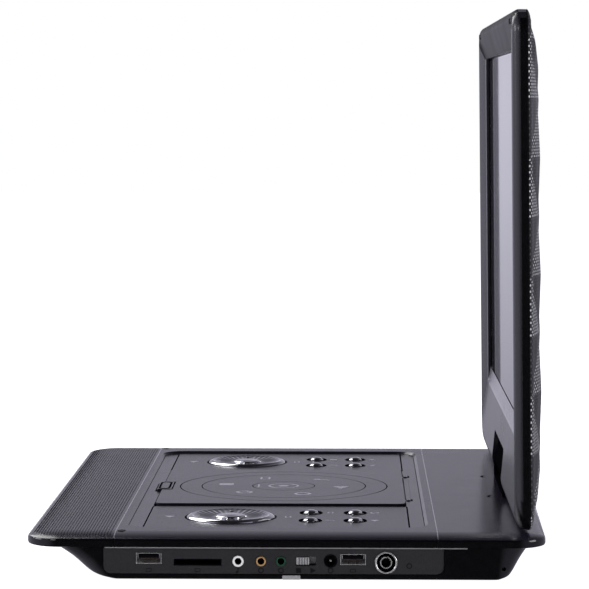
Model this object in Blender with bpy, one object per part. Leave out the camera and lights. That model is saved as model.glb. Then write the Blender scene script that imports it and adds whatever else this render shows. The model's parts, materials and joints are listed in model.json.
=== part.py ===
"""Portable disc player with a swivelling 15.6 inch screen, modelled open.

Metres, +Z up.  The origin is on the surface the player stands on, midway between
the side edges and midway along the base.  +X is the user's right, where the sockets
are, and -Y is the user's side.  The screen stands over the rear edge of the base.
"""
import bpy
import bmesh
from math import cos, pi, radians, sin, sqrt
from mathutils import Matrix, Vector

# ---- driving dimensions -------------------------------------------------------------
WIDTH = 0.368              # base and screen, side to side
DEPTH = 0.2688             # base, front to rear at the sides
REAR_BOW = 0.003           # extra depth at the middle of the rear edge
FOOT_H = 0.0010
RIM_Z = 0.018              # underside of the overhanging rim
RIM_TOP_Z = 0.022
DECK_Z = 0.0246            # flat top of the deck
GAP = 0.0003               # between pieces that touch
WALL = 0.002
FRONT_CORNER, REAR_CORNER = 0.018, 0.016

FRONT_SEAM_Y, REAR_SEAM_Y = -0.0882, 0.0787
RECESS = (-0.155, 0.155, -0.084, 0.073)      # x0, x1, y0, y1 of the opening in the deck
DOOR_X, DOOR_Y0, DOOR_Y1 = 0.070, -0.075, 0.0641
PLATE_Z, LAND_Z, KEYPAD_Z, DOOR_Z = 0.0213, 0.0232, 0.0234, 0.0244
DISC_Y = -0.0053           # spindle, on x = 0
WELL_R, WELL_FLOOR_Z = 0.0625, 0.0168
DPAD_X, DPAD_Y, DPAD_R, DPAD_HOLE_R, OK_R = 0.113, -0.031, 0.02375, 0.0250, 0.0080
KEY_X, KEY_Y, KEY_SIZE = (0.0975, 0.125), (0.0122, 0.0363), (0.0140, 0.0120)
DOOR_PIN_Y, DOOR_PIN_Z, DOOR_PIN_R = 0.0662, 0.0221, 0.00075

HINGE_Y, HINGE_Z = 0.127, 0.0362             # tilt axis of the screen
BARREL_R, TILT_PIN_R, SWIVEL_R = 0.0080, 0.0025, 0.0030
LEAN = radians(0.7)                          # the screen leans this far forward of upright
RIDGE_Y, BAND_Y0, BAND_Y1 = 0.118, 0.1205, 0.1265
SCREEN_TOP_Z = 0.2943
LIP_R = 0.0109                               # lower edge of the screen, about the tilt axis
WINDOW_X, WINDOW_Z0, WINDOW_Z1, SILL_H = 0.1675, 0.0777, 0.2743, 0.008
NOTCH_X, NOTCH_Z = 0.0478, 0.052
RUN = 0.00006                                # radial clearance of a running fit

PANEL_Y0, PANEL_Y1, PANEL_Z0, PANEL_Z1 = -0.094, 0.082, 0.0039, 0.0174
SIDE_X = 0.1812                              # outer face of the socket panel
TAU = 2 * pi

BLACK_GLOSS = ((0.010, 0.010, 0.012, 1), 0.12, 0)
BLACK_SATIN = ((0.030, 0.030, 0.034, 1), 0.38, 0)
CHROME = ((0.80, 0.80, 0.82, 1), 0.10, 1)
STEEL = ((0.55, 0.55, 0.56, 1), 0.30, 1)
RUBBER = ((0.015, 0.015, 0.015, 1), 0.80, 0)
GREY_PLASTIC = ((0.30, 0.30, 0.31, 1), 0.50, 0)
GREEN_BOARD = ((0.02, 0.16, 0.06, 1), 0.50, 0)
GLASS = ((0.22, 0.21, 0.27, 1), 0.08, 0)

for old in list(bpy.data.objects):
    bpy.data.objects.remove(old, do_unlink=True)
PARTS = bpy.data.collections.new("portable_dvd_player")
CUTTERS = bpy.data.collections.new("cutters")
for group in (PARTS, CUTTERS):
    bpy.context.scene.collection.children.link(group)


# ---- shape helpers ------------------------------------------------------------------
def rounded_rect(x0, x1, y0, y1, r, steps=4):
    """Outline of a rectangle with rounded corners, counter-clockwise."""
    corners = ((x1 - r, y0 + r, -90), (x1 - r, y1 - r, 0), (x0 + r, y1 - r, 90), (x0 + r, y0 + r, 180))
    return [(cx + r * cos(radians(start + 90 * k / steps)), cy + r * sin(radians(start + 90 * k / steps)))
            for cx, cy, start in corners for k in range(steps + 1)]


def circle(cx, cy, r, steps=32):
    return [(cx + r * cos(TAU * k / steps), cy + r * sin(TAU * k / steps)) for k in range(steps)]


def finished(name, mesh, look, origin=(0, 0, 0)):
    """A named part with its own material, from a mesh drawn in world coordinates."""
    colour, roughness, metallic = look
    mesh.transform(Matrix.Translation(-Vector(origin)))
    mesh.shade_smooth()
    mesh.set_sharp_from_angle(angle=radians(35))
    obj = bpy.data.objects.new(name, mesh)
    obj.location = origin
    PARTS.objects.link(obj)
    material = bpy.data.materials.new(name)
    material.use_nodes = True
    shader = material.node_tree.nodes["Principled BSDF"]
    shader.inputs["Base Color"].default_value = colour
    shader.inputs["Roughness"].default_value = roughness
    shader.inputs["Metallic"].default_value = metallic
    mesh.materials.clear()
    mesh.materials.append(material)
    return obj


def from_bmesh(name, bm):
    bmesh.ops.recalc_face_normals(bm, faces=bm.faces)
    if bm.calc_volume(signed=True) < 0:
        bmesh.ops.reverse_faces(bm, faces=bm.faces)
    mesh = bpy.data.meshes.new(name)
    bm.to_mesh(mesh)
    bm.free()
    return mesh


def slab_mesh(outlines, low, high, plane="XY"):
    """A flat outline with optional holes, extruded from low to high across its plane.

    The curve is filled a thousand times larger, where its close points stay apart.
    """
    curve = bpy.data.curves.new("outline", "CURVE")
    curve.dimensions, curve.fill_mode, curve.extrude = "2D", "BOTH", 1000 * (high - low) / 2
    for outline in outlines:
        spline = curve.splines.new("POLY")
        spline.points.add(len(outline) - 1)
        for point, (u, v) in zip(spline.points, outline):
            point.co = (1000 * u, 1000 * v, 0, 1)
        spline.use_cyclic_u = True
    guide = bpy.data.objects.new("outline", curve)
    CUTTERS.objects.link(guide)
    bpy.context.view_layer.update()
    flat = bpy.data.meshes.new_from_object(guide.evaluated_get(bpy.context.evaluated_depsgraph_get()))
    bpy.data.objects.remove(guide)
    bm = bmesh.new()
    bm.from_mesh(flat)
    bmesh.ops.remove_doubles(bm, verts=bm.verts, dist=0.001)
    middle = (low + high) / 2
    for vert in bm.verts:
        u, v, w = vert.co / 1000
        w += middle
        vert.co = {"XY": (u, v, w), "YZ": (w, u, v), "XZ": (u, w, v)}[plane]
    return from_bmesh("slab", bm)


def box_mesh(low, high, bevel=0.0, segments=2):
    bm = bmesh.new()
    bmesh.ops.create_cube(bm, size=1)
    size = [b - a for a, b in zip(low, high)]
    centre = [(a + b) / 2 for a, b in zip(low, high)]
    for vert in bm.verts:
        vert.co = [c + p * s for c, p, s in zip(centre, vert.co, size)]
    if bevel:
        bmesh.ops.bevel(bm, geom=bm.edges[:], offset=bevel, segments=segments, profile=0.5,
                        affect="EDGES")
    return from_bmesh("box", bm)


def turned_mesh(profile, centre, axis="Z", steps=32):
    """A closed (radius, height) section turned about an axis through centre."""
    bm = bmesh.new()
    verts = [bm.verts.new((r, 0, h)) for r, h in profile]
    on_axis = profile[0][0] == 0 and profile[-1][0] == 0
    for a, b in zip(verts, verts[1:] if on_axis else verts[1:] + verts[:1]):
        bm.edges.new((a, b))
    bmesh.ops.spin(bm, geom=bm.verts[:] + bm.edges[:], cent=(0, 0, 0), axis=(0, 0, 1), angle=TAU,
                   steps=steps, use_merge=True)
    bmesh.ops.remove_doubles(bm, verts=bm.verts, dist=1e-6)
    turn = {"Z": Matrix(), "X": Matrix.Rotation(pi / 2, 4, "Y"),
            "Y": Matrix.Rotation(-pi / 2, 4, "X")}[axis]
    bm.transform(Matrix.Translation(centre) @ turn)
    return from_bmesh("turned", bm)


def rod_mesh(start, end, r, steps=24):
    """A round bar between two points on a line along X, Y or Z."""
    start, end = Vector(start), Vector(end)
    bm = bmesh.new()
    bmesh.ops.create_cone(bm, cap_ends=True, segments=steps, radius1=r, radius2=r,
                          depth=(end - start).length)
    turn = (end - start).to_track_quat("Z", "Y").to_matrix().to_4x4()
    bm.transform(Matrix.Translation((start + end) / 2) @ turn)
    return from_bmesh("rod", bm)


def loft_mesh(loops, closed):
    """Skin through loops of equal length; closed joins last to first, else both ends are capped."""
    bm = bmesh.new()
    rings = [[bm.verts.new(p) for p in loop] for loop in loops]
    for a, b in zip(rings, rings[1:] + rings[:1] if closed else rings[1:]):
        for k in range(len(a)):
            m = (k + 1) % len(a)
            bm.faces.new((a[k], a[m], b[m], b[k]))
    if not closed:
        bm.faces.new(rings[0])
        bm.faces.new(rings[-1])
    return from_bmesh("loft", bm)


def cutter(mesh):
    obj = bpy.data.objects.new("cutter", mesh)
    obj.hide_render, obj.display_type = True, "WIRE"
    CUTTERS.objects.link(obj)
    return obj


def boolean(obj, operation, *meshes):
    for mesh in meshes:
        mod = obj.modifiers.new(operation.title(), "BOOLEAN")
        mod.operation, mod.solver, mod.object = operation, "EXACT", cutter(mesh)


def combined(operation, first, *others):
    """The mesh left when others are joined to, or cut from, the first."""
    base = cutter(first)
    boolean(base, operation, *others)
    bpy.context.view_layer.update()
    mesh = bpy.data.meshes.new_from_object(base.evaluated_get(bpy.context.evaluated_depsgraph_get()))
    for mod in base.modifiers:
        bpy.data.objects.remove(mod.object)
    bpy.data.objects.remove(base)
    return mesh


# ---- base: outlines -----------------------------------------------------------------
def base_loop(z, half, front, rear, front_r, rear_r):
    """One level of the base: straight sides, rounded corners and a bowed rear edge."""
    points = []
    for cx, cy, r, start in ((half - front_r, front + front_r, front_r, -90),
                             (half - rear_r, rear - rear_r, rear_r, 0)):
        points += [(cx + r * cos(radians(start + 18 * k)), cy + r * sin(radians(start + 18 * k)))
                   for k in range(6)]
    points += [((half - rear_r) * (1 - k / 4), rear) for k in range(1, 4)]
    bowed = [(x, y + (REAR_BOW * (1 - (x / half) ** 2) if y > 0 else 0)) for x, y in points]
    middle = [(0, rear + REAR_BOW)]
    return [(x, y, z) for x, y in bowed + middle + [(-x, y) for x, y in reversed(bowed)]]


def deck_loop(z, inset):
    return base_loop(z, WIDTH / 2 - inset, -DEPTH / 2 + inset, DEPTH / 2 - inset,
                     max(FRONT_CORNER - inset, 0.004), max(REAR_CORNER - inset, 0.004))


# z, half width, front, rear, front and rear corner radii of the boat-shaped lower housing
HULL = ((0.0010, 0.1790, -0.0908, 0.1111, 0.0030, 0.0030),
        (0.0024, 0.1804, -0.0970, 0.1148, 0.0040, 0.0062),
        (0.0050, 0.1810, -0.1023, 0.1172, 0.0050, 0.0086),
        (0.0117, 0.1812, -0.1110, 0.1214, 0.0075, 0.0128),
        (RIM_Z - GAP, 0.1813, -0.1210, 0.1260, 0.0115, 0.0174))


def hull_loop(z, inset=0.0):
    for low, high in zip(HULL, HULL[1:]):
        if z <= high[0] or high is HULL[-1]:
            t = (z - low[0]) / (high[0] - low[0])
            half, front, rear, fr, rr = (a + (b - a) * t for a, b in zip(low[1:], high[1:]))
            return base_loop(z, half - inset, front + inset, rear - inset, max(fr - inset, 0.001),
                             max(rr - inset, 0.001))


# ---- base: housing and deck ---------------------------------------------------------
def build_housing():
    outer = loft_mesh([base_loop(*level) for level in HULL], closed=False)
    cavity = loft_mesh([hull_loop(z, 0.0026) for z in (FOOT_H + WALL, 0.0055, 0.0117)]
                       + [hull_loop(RIM_Z - GAP, 0.0026), [(x, y, RIM_Z + 0.002) for x, y, _ in
                                                         hull_loop(RIM_Z - GAP, 0.0026)]], closed=False)
    housing = finished("lower_housing", outer, BLACK_GLOSS)
    window = slab_mesh([rounded_rect(PANEL_Y0, PANEL_Y1, PANEL_Z0, PANEL_Z1 + 0.01, 0.004)], 0.17, 0.19,
                       "YZ")
    boolean(housing, "DIFFERENCE", cavity, window)
    for side in (-1, 1):
        for row, y in (("front", -0.070), ("rear", 0.092)):
            foot = turned_mesh([(0, 0), (0.0062, 0), (0.0070, 0.0004), (0.0070, FOOT_H - GAP),
                                (0, FOOT_H - GAP)],
                               (side * 0.155, y, 0), steps=16)
            finished(f"foot_{row}_{'right' if side > 0 else 'left'}", foot, RUBBER, (side * 0.155, y, 0))


def build_deck():
    skin = ((RIM_Z, 0.0012), (RIM_Z + 0.0008, 0), (RIM_TOP_Z, 0), (0.0228, 0.0012), (0.0236, 0.0045),
            (0.0243, 0.0115),
            (DECK_Z, 0.0210))
    inside = [deck_loop(z, inset) for z, inset in ((RIM_Z - 0.001, 0.0045), (0.0205, 0.0045),
                                                   (0.0217, 0.0100), (0.0224, 0.0160))]
    shell = combined("DIFFERENCE", loft_mesh([deck_loop(z, i) for z, i in skin], closed=False),
                     loft_mesh(inside, closed=False))
    spans = {"speaker_grille": (-0.2, FRONT_SEAM_Y - GAP / 2), "deck_frame": (FRONT_SEAM_Y + GAP / 2,
        REAR_SEAM_Y - GAP / 2),
             "rear_deck": (REAR_SEAM_Y + GAP / 2, 0.2)}
    for name, (y0, y1) in spans.items():
        piece = finished(name, shell.copy(), BLACK_GLOSS)
        boolean(piece, "INTERSECT", box_mesh((-0.2, y0, 0), (0.2, y1, 0.05)))
        if name == "deck_frame":
            x0, x1, r0, r1 = RECESS
            boolean(piece, "DIFFERENCE", slab_mesh([rounded_rect(x0, x1, r0, r1, 0.012)], 0.01, 0.04))
    for side in (-1, 1):
        bumper, pocket = [[(side * 0.169 + (0.0028 + grow) * cos(a), -0.0853 + (0.0018 + grow) * sin(a))
                           for a in (TAU * k / 20 for k in range(20))] for grow in (0, GAP)]
        boolean(PARTS.objects["deck_frame"], "DIFFERENCE", slab_mesh([pocket], 0.0238, 0.03))
        finished(f"bumper_{'right' if side > 0 else 'left'}",
                 slab_mesh([bumper], 0.0238 + GAP, DECK_Z + 0.0001), RUBBER)


def build_well():
    """The panel under the keypads and the door, with the disc well sunk into it."""
    x0, x1, y0, y1 = RECESS
    bottom = 0.0199
    plate = slab_mesh([rounded_rect(x0 - 0.0015, x1 + 0.0015, y0 - 0.001, y1 + 0.0015, 0.013)], bottom,
                      PLATE_Z)
    lands = combined("DIFFERENCE", slab_mesh([rounded_rect(x0 + GAP, x1 - GAP, y0 + GAP, y1 - GAP,
                                                           0.012)], bottom + 0.0003, LAND_Z),
                     box_mesh((-0.2, DOOR_Y0 - 0.0006, 0), (0.2, DOOR_Y1 + 0.0006, 0.05)))
    cup = turned_mesh([(0.010, WELL_FLOOR_Z - 0.0015), (0.010, WELL_FLOOR_Z), (WELL_R, WELL_FLOOR_Z),
                       (WELL_R, PLATE_Z - 0.0002),
                       (WELL_R + 0.002, PLATE_Z - 0.0002), (WELL_R + 0.002, WELL_FLOOR_Z - 0.0015)],
                       (0, DISC_Y, 0), steps=36)
    hole = slab_mesh([circle(0, DISC_Y, WELL_R + 0.001, 36)], 0.012, 0.03)
    mesh = combined("UNION", combined("DIFFERENCE", plate, hole), cup, lands)
    panel = finished("disc_well", mesh, BLACK_SATIN)
    spindle = slab_mesh([circle(0, DISC_Y, 0.0170)], 0.010, 0.0175)
    laser = slab_mesh([rounded_rect(-0.0120, 0.0120, DISC_Y - 0.0615, DISC_Y - 0.008, 0.004)], 0.010,
                      0.0175)
    groove = box_mesh((-0.0543, DOOR_Y1 - 0.002, PLATE_Z), (0.0543, DOOR_PIN_Y + 0.0014, 0.03))
    slots = [box_mesh((s * 0.048 - 0.0037, 0.0585, 0.015), (s * 0.048 + 0.0037, DOOR_PIN_Y + 0.0024,
                                                            0.03)) for s in (-1, 1)]
    latch = box_mesh((-0.0163, -0.0792, PLATE_Z), (0.0163, -0.070, 0.03))
    boolean(panel, "DIFFERENCE", spindle, laser, groove, *slots, latch)


def key_outline(cx, cy, half_x, half_y, steps=16):
    """A soft-cornered oval."""
    return [(cx + half_x * abs(cos(a)) ** 0.8 * (1 if cos(a) > 0 else -1),
             cy + half_y * abs(sin(a)) ** 0.8 * (1 if sin(a) > 0 else -1))
            for a in (TAU * (n + 0.5) / steps for n in range(steps))]


def dome_mesh(cx, cy, half_x, half_y, z0, z1, crown):
    """A key cap: straight oval sides with a low crowned top."""
    levels = ((z0, 1), (z1, 1), (z1 + 0.55 * crown, 0.90), (z1 + 0.88 * crown, 0.68), (z1 + crown, 0.38))
    return loft_mesh([[(x, y, z) for x, y in key_outline(cx, cy, half_x * k, half_y * k)] for z, k in levels],
                     closed=False)


def build_keypads():
    for side, label in ((-1, "left"), (1, "right")):
        x0, x1 = sorted((side * 0.0743, side * 0.152))
        holes = [circle(side * DPAD_X, DPAD_Y, DPAD_HOLE_R)]
        keys = [(side * x, y) for y in KEY_Y for x in KEY_X]
        hx, hy = KEY_SIZE[0] / 2, KEY_SIZE[1] / 2
        holes += [key_outline(x, y, hx + 0.0004, hy + 0.0004) for x, y in keys]
        outline = rounded_rect(x0, x1, DOOR_Y0 - 0.0003, DOOR_Y1 + 0.0003, 0.003)
        finished(f"keypad_{label}", slab_mesh([outline] + holes, PLATE_Z + GAP, KEYPAD_Z), BLACK_SATIN)
        for n, (x, y) in enumerate(keys, 1):
            finished(f"key_{label}_{n}", dome_mesh(x, y, hx, hy, 0.0224, 0.0240, 0.0010), CHROME,
                     (x, y, 0.0224))
        ring = [(OK_R + 0.0004, 0.0225), (OK_R + 0.0004, 0.0232), (0.0140, 0.0235), (0.0208, 0.0249),
                (0.0216, 0.0249),
                (DPAD_R, 0.0239), (DPAD_R, 0.0227)]
        centre = (side * DPAD_X, DPAD_Y, 0)
        finished(f"dpad_{label}", turned_mesh(ring, centre, steps=36), CHROME,
                 (centre[0], centre[1], 0.0226))
        button = [(0, 0.0223), (OK_R, 0.0223), (OK_R, 0.0240), (0.0070, 0.0246), (0.0040, 0.0249),
                  (0, 0.0250)]
        finished(f"ok_{label}", turned_mesh(button, centre, steps=20), CHROME,
                 (centre[0], centre[1], 0.0223))


def build_door():
    x, y0, y1 = DOOR_X, DOOR_Y0, DOOR_Y1
    pivot = (0, DOOR_PIN_Y, DOOR_PIN_Z)
    panel = slab_mesh([rounded_rect(-x, x, y0, y1, 0.004)], DOOR_Z - 0.0018, DOOR_Z)
    slab = combined("DIFFERENCE", panel, box_mesh((-0.0163, y0 - 0.01, 0.02), (0.0163, -0.0690, 0.03)))
    lugs = []
    for side in (-1, 1):
        lo, hi = side * 0.048 - 0.003, side * 0.048 + 0.003
        lugs += [rod_mesh((lo, DOOR_PIN_Y, DOOR_PIN_Z), (hi, DOOR_PIN_Y, DOOR_PIN_Z), 0.0017),
                 box_mesh((lo, 0.0600, 0.0214), (hi, DOOR_PIN_Y, 0.0229))]
    door = finished("disc_door", combined("UNION", slab, *lugs), BLACK_SATIN, pivot)
    bore = rod_mesh((-0.06, 0, 0), (0.06, 0, 0), DOOR_PIN_R + RUN)
    boolean(door, "DIFFERENCE", bore)
    door.modifiers[-1].object.location = pivot
    pin = rod_mesh((-0.0540, DOOR_PIN_Y, DOOR_PIN_Z), (0.0540, DOOR_PIN_Y, DOOR_PIN_Z), DOOR_PIN_R, 16)
    finished("door_pin", pin, STEEL, pivot)
    latch = box_mesh((-0.0150, -0.0782, 0.0226), (0.0150, -0.0698, 0.0246), 0.0007)
    finished("door_latch", latch, BLACK_SATIN, (0, -0.074, 0.0226))


# ---- base: sockets on the right side --------------------------------------------------
# name, y, z, hole outline half sizes (or radius)
USB_HALF, CARD_HALF = (0.00655, 0.0028), (0.0122, 0.0016)
USB_PLACES = {"usb_socket_front": (-0.0703, 0.0121), "usb_socket_rear": (0.0351, 0.0118)}
CARD_PLACE, SWITCH_PLACE = (-0.0451, 0.0101), (0.01075, 0.01085)
JACKS = {"headphone_jack": (-0.0242, 0.0107, 0.0029, ((0.80, 0.80, 0.80, 1), 0.4, 0)),
         "av_out_jack": (-0.0124, 0.0107, 0.0025, ((0.42, 0.26, 0.10, 1), 0.4, 0)),
         "av_in_jack": (-0.0021, 0.0107, 0.0025, ((0.02, 0.12, 0.06, 1), 0.4, 0))}
POWER_PLACE, POWER_R = (0.0235, 0.0110), 0.0034
ANTENNA_PLACE, ANTENNA_R = (0.0521, 0.0102), 0.0057


def rect(centre, half, r=0.0003):
    return rounded_rect(centre[0] - half[0], centre[0] + half[0], centre[1] - half[1],
                        centre[1] + half[1], r, 2)


def cup_mesh(centre, half, wall, front, back):
    """A rectangular tube along X, open at the front and closed at the back."""
    inner = (half[0] - wall, half[1] - wall)
    levels = ((inner, back + 0.001), (inner, front), (half, front), (half, back))
    return loft_mesh([[(x, y, z) for y, z in rect(centre, size)] for size, x in levels], closed=False)


def build_sockets():
    face, back = SIDE_X, SIDE_X - 0.0018
    clear = 0.0002
    outline = [(min(max(y, PANEL_Y0 + GAP), PANEL_Y1 - GAP), min(z, PANEL_Z1)) for y, z in
               rounded_rect(PANEL_Y0 + GAP, PANEL_Y1 - GAP, PANEL_Z0 + GAP, PANEL_Z1 + 0.004, 0.0037)]
    holes = [rect(place, (USB_HALF[0] + clear, USB_HALF[1] + clear)) for place in USB_PLACES.values()]
    holes += [rect(CARD_PLACE, (CARD_HALF[0] + clear, CARD_HALF[1] + clear)),
              rect(SWITCH_PLACE, (0.0054, 0.0024), 0.0008)]
    holes += [circle(y, z, r + clear, 18) for y, z, r, _ in JACKS.values()]
    holes += [circle(*POWER_PLACE, POWER_R + clear, 18), circle(*ANTENNA_PLACE, ANTENNA_R + clear, 24)]
    finished("port_panel", slab_mesh([outline] + holes, back, face, "YZ"), BLACK_SATIN)

    for name, (y, z) in USB_PLACES.items():
        tongue = box_mesh((face - 0.0134, y - 0.0055, z + 0.0001),
                          (face - 0.0012, y + 0.0055, z + 0.0019))
        finished(name, combined("UNION", cup_mesh((y, z), USB_HALF, 0.0003, face + 0.0002, face - 0.0140),
                                tongue), STEEL)
    finished("card_slot", cup_mesh(CARD_PLACE, CARD_HALF, 0.0004, face - 0.0002, face - 0.0260),
             ((0.05, 0.05, 0.055, 1), 0.4, 0))
    for name, (y, z, r, look) in JACKS.items():
        barrel = [(0, -0.0120), (r + 0.0008, -0.0120), (r + 0.0008, -0.0021), (r, -0.0021), (r, 0.0005),
                  (0.0018, 0.0005),
                  (0.0018, -0.0100), (0, -0.0100)]
        finished(name, turned_mesh(barrel, (face, y, z), "X", 18), look)
    y, z = POWER_PLACE
    inlet = [(0, -0.0110), (POWER_R + 0.0008, -0.0110), (POWER_R + 0.0008, -0.0021), (POWER_R, -0.0021),
             (POWER_R, 0.0002),
             (0.00275, 0.0002), (0.00275, -0.0090), (0.0007, -0.0090), (0.0007, -0.0012), (0, -0.0010)]
    finished("power_jack", turned_mesh(inlet, (face, y, z), "X", 18), BLACK_SATIN)
    y, z = ANTENNA_PLACE
    coax = [(0, -0.0120), (0.0062, -0.0120), (0.0062, -0.0021), (ANTENNA_R, -0.0021), (ANTENNA_R, 0.0004),
            (0.0053, 0.0006),
            (0.0048, 0.0004), (0.0046, -0.0080), (0.0031, -0.0080), (0.0031, 0.0002), (0.0026, 0.0002),
            (0.0020, -0.0060),
            (0, -0.0060)]
    finished("antenna_jack", turned_mesh(coax, (face, y, z), "X", 24), STEEL)

    y, z = SWITCH_PLACE
    knob = box_mesh((face - 0.0046, y - 0.0051, z - 0.0020), (face - 0.0003, y + 0.0017, z + 0.0020),
                    0.0003, 1)
    ribs = [box_mesh((face - 0.0012, y - 0.0037 + 0.0014 * k, z - 0.003),
                     (face + 0.01, y - 0.0031 + 0.0014 * k, z + 0.003))
            for k in range(4)]
    finished("power_switch_knob", combined("DIFFERENCE", knob, *ribs), GREY_PLASTIC,
             (face - 0.0046, y - 0.0017, z))
    body = box_mesh((face - 0.0100, y - 0.0070, z - 0.0032), (face - 0.0049, y + 0.0070, z + 0.0032))
    finished("power_switch_body", body, STEEL)


# ---- base: inside ---------------------------------------------------------------------
def build_inside():
    finished("main_board", box_mesh((0.078, -0.086, 0.0046), (0.1685, 0.084, 0.0062)), GREEN_BOARD)
    finished("battery_pack", box_mesh((-0.168, -0.076, 0.0042), (-0.074, 0.070, 0.0178), 0.001, 1),
             ((0.05, 0.12, 0.30, 1), 0.5, 0))
    for side, label in ((-1, "left"), (1, "right")):
        driver = [(0, 0.0146), (0.0080, 0.0146), (0.0080, 0.0180), (0.0118, 0.0205), (0.0118, 0.0217),
                  (0.0105, 0.0217), (0.0050, 0.0190), (0, 0.0198)]
        finished(f"speaker_{label}", turned_mesh(driver, (side * 0.120, -0.1035, 0), steps=20), STEEL)

    rail_x, rail_z, rail_r, screw_x = 0.016, 0.0115, 0.0015, 0.026
    y_in, y_out = DISC_Y - 0.013, DISC_Y - 0.0710
    chassis = slab_mesh([rounded_rect(-0.034, 0.034, y_out - 0.004, DISC_Y + 0.020, 0.004),
                         circle(0, DISC_Y, 0.0126)], 0.0050, 0.0062)
    tabs = [box_mesh((-0.020, y_out - 0.0034, 0.0056), (0.0300, y_out, 0.0142)),
            box_mesh((0.0228, y_in - 0.0010, 0.0056), (0.0300, y_in + 0.0016, 0.0142))]
    chassis = finished("drive_chassis", combined("UNION", chassis, *tabs), STEEL)
    for x in (-rail_x, rail_x):
        name = f"sled_rail_{'right' if x > 0 else 'left'}"
        finished(name, rod_mesh((x, y_out + GAP, rail_z), (x, y_in - 0.0005, rail_z), rail_r), STEEL,
                 (x, y_in, rail_z))
    screw = rod_mesh((screw_x, y_out - 0.0025, rail_z), (screw_x, y_in + 0.0035, rail_z), rail_r)
    finished("sled_screw", screw, STEEL, (screw_x, DISC_Y, rail_z))
    boolean(chassis, "DIFFERENCE", rod_mesh((screw_x, -0.1, rail_z), (screw_x, 0, rail_z), rail_r + RUN))
    motor = turned_mesh([(0, 0.0040), (0.0036, 0.0040), (0.0036, 0.0160), (0, 0.0160)],
                        (screw_x, y_in, rail_z), "Y", 20)
    finished("sled_motor", motor, STEEL)

    y = DISC_Y - 0.0250
    carriage = combined("UNION", box_mesh((-0.0195, y - 0.0105, 0.0090), (0.0296, y + 0.0105, 0.0138),
                                          0.0005, 1),
                        turned_mesh([(0, 0.0130), (0.0045, 0.0130), (0.0045, 0.0162), (0.0030, 0.0166),
                                     (0, 0.0168)], (0, y, 0), steps=20))
    sled = finished("laser_sled", carriage, BLACK_SATIN)
    boolean(sled, "DIFFERENCE", *[rod_mesh((x, -0.1, rail_z), (x, 0.05, rail_z), rail_r + RUN)
                                  for x in (-rail_x, rail_x, screw_x)])

    motor = [(0, 0.0042), (0.0118, 0.0042), (0.0118, 0.0110), (0.0040, 0.0114), (0.0010, 0.0114),
             (0.0010, 0.0170), (0, 0.0170)]
    finished("spindle_motor", turned_mesh(motor, (0, DISC_Y, 0), steps=24), STEEL)
    bore = 0.0010 + RUN
    hub = [(0, 0.0174), (bore, 0.0174), (bore, 0.0125), (0.0040, 0.0125), (0.0040, 0.0172),
           (0.0155, 0.0172), (0.0155, 0.0184),
           (0.0074, 0.0186), (0.0070, 0.0204), (0.0055, 0.0212), (0, 0.0214)]
    finished("turntable", turned_mesh(hub, (0, DISC_Y, 0), steps=24), BLACK_SATIN, (0, DISC_Y, 0.0172))


# ---- hinge and screen -----------------------------------------------------------------
def build_hinge():
    lugs = [rod_mesh((s * 0.0352, HINGE_Y, HINGE_Z), (s * 0.0460, HINGE_Y, HINGE_Z), BARREL_R, 28)
            for s in (-1, 1)]
    webs = [box_mesh((min(s * 0.0352, s * 0.0460), HINGE_Y - BARREL_R, 0.0262),
                     (max(s * 0.0352, s * 0.0460), HINGE_Y + BARREL_R - 0.003, HINGE_Z))
            for s in (-1, 1)]
    foot = box_mesh((-0.0460, HINGE_Y - BARREL_R, DECK_Z + GAP), (0.0460, HINGE_Y + BARREL_R - 0.003,
        0.0266), 0.0004, 1)
    base = finished("hinge_base", combined("UNION", foot, *webs, *lugs), BLACK_GLOSS)
    bore = ((-0.06, HINGE_Y, HINGE_Z), (0.06, HINGE_Y, HINGE_Z), TILT_PIN_R + RUN)
    boolean(base, "DIFFERENCE", rod_mesh(*bore, 24))
    finished("tilt_pin", rod_mesh((-0.0462, HINGE_Y, HINGE_Z), (0.0462, HINGE_Y, HINGE_Z), TILT_PIN_R,
                                  24), STEEL, (0, HINGE_Y, HINGE_Z))

    barrel = rod_mesh((-0.0348, HINGE_Y, HINGE_Z), (0.0348, HINGE_Y, HINGE_Z), BARREL_R, 28)
    neck = box_mesh((-0.0120, HINGE_Y - 0.0055, HINGE_Z), (0.0120, HINGE_Y + 0.0055, 0.0490))
    flange = turned_mesh([(0, 0.0480), (0.0080, 0.0480), (0.0080, 0.0515), (0, 0.0515)], (0, HINGE_Y, 0),
                         steps=24)
    arm = finished("hinge_barrel", combined("UNION", barrel, neck, flange), BLACK_GLOSS,
                   (0, HINGE_Y, HINGE_Z))
    boolean(arm, "DIFFERENCE", rod_mesh((-0.06, 0, 0), (0.06, 0, 0), TILT_PIN_R + RUN, 24))
    arm.modifiers[-1].object.location = (0, HINGE_Y, HINGE_Z)
    post = turned_mesh([(0, 0.0518), (SWIVEL_R, 0.0518), (SWIVEL_R, 0.0700), (0, 0.0700)],
                       (0, HINGE_Y, 0), steps=24)
    finished("swivel_post", post, STEEL, (0, HINGE_Y, 0.0518))
    bracket = box_mesh((-0.0200, HINGE_Y - 0.0042, 0.0545), (0.0200, HINGE_Y + 0.0035, 0.0690), 0.0005, 1)
    bracket = finished("swivel_bracket", bracket, STEEL, (0, HINGE_Y, 0.0545))
    boolean(bracket, "DIFFERENCE", rod_mesh((0, 0, -0.02), (0, 0, 0.03), SWIVEL_R + RUN, 24))
    bracket.modifiers[-1].object.location = (0, HINGE_Y, 0.0545)


def lip_z(y):
    """Height of the screen's lower edge at y, an arc about the tilt axis that clears the deck."""
    return HINGE_Z - sqrt(LIP_R ** 2 - (y - HINGE_Y) ** 2)


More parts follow.
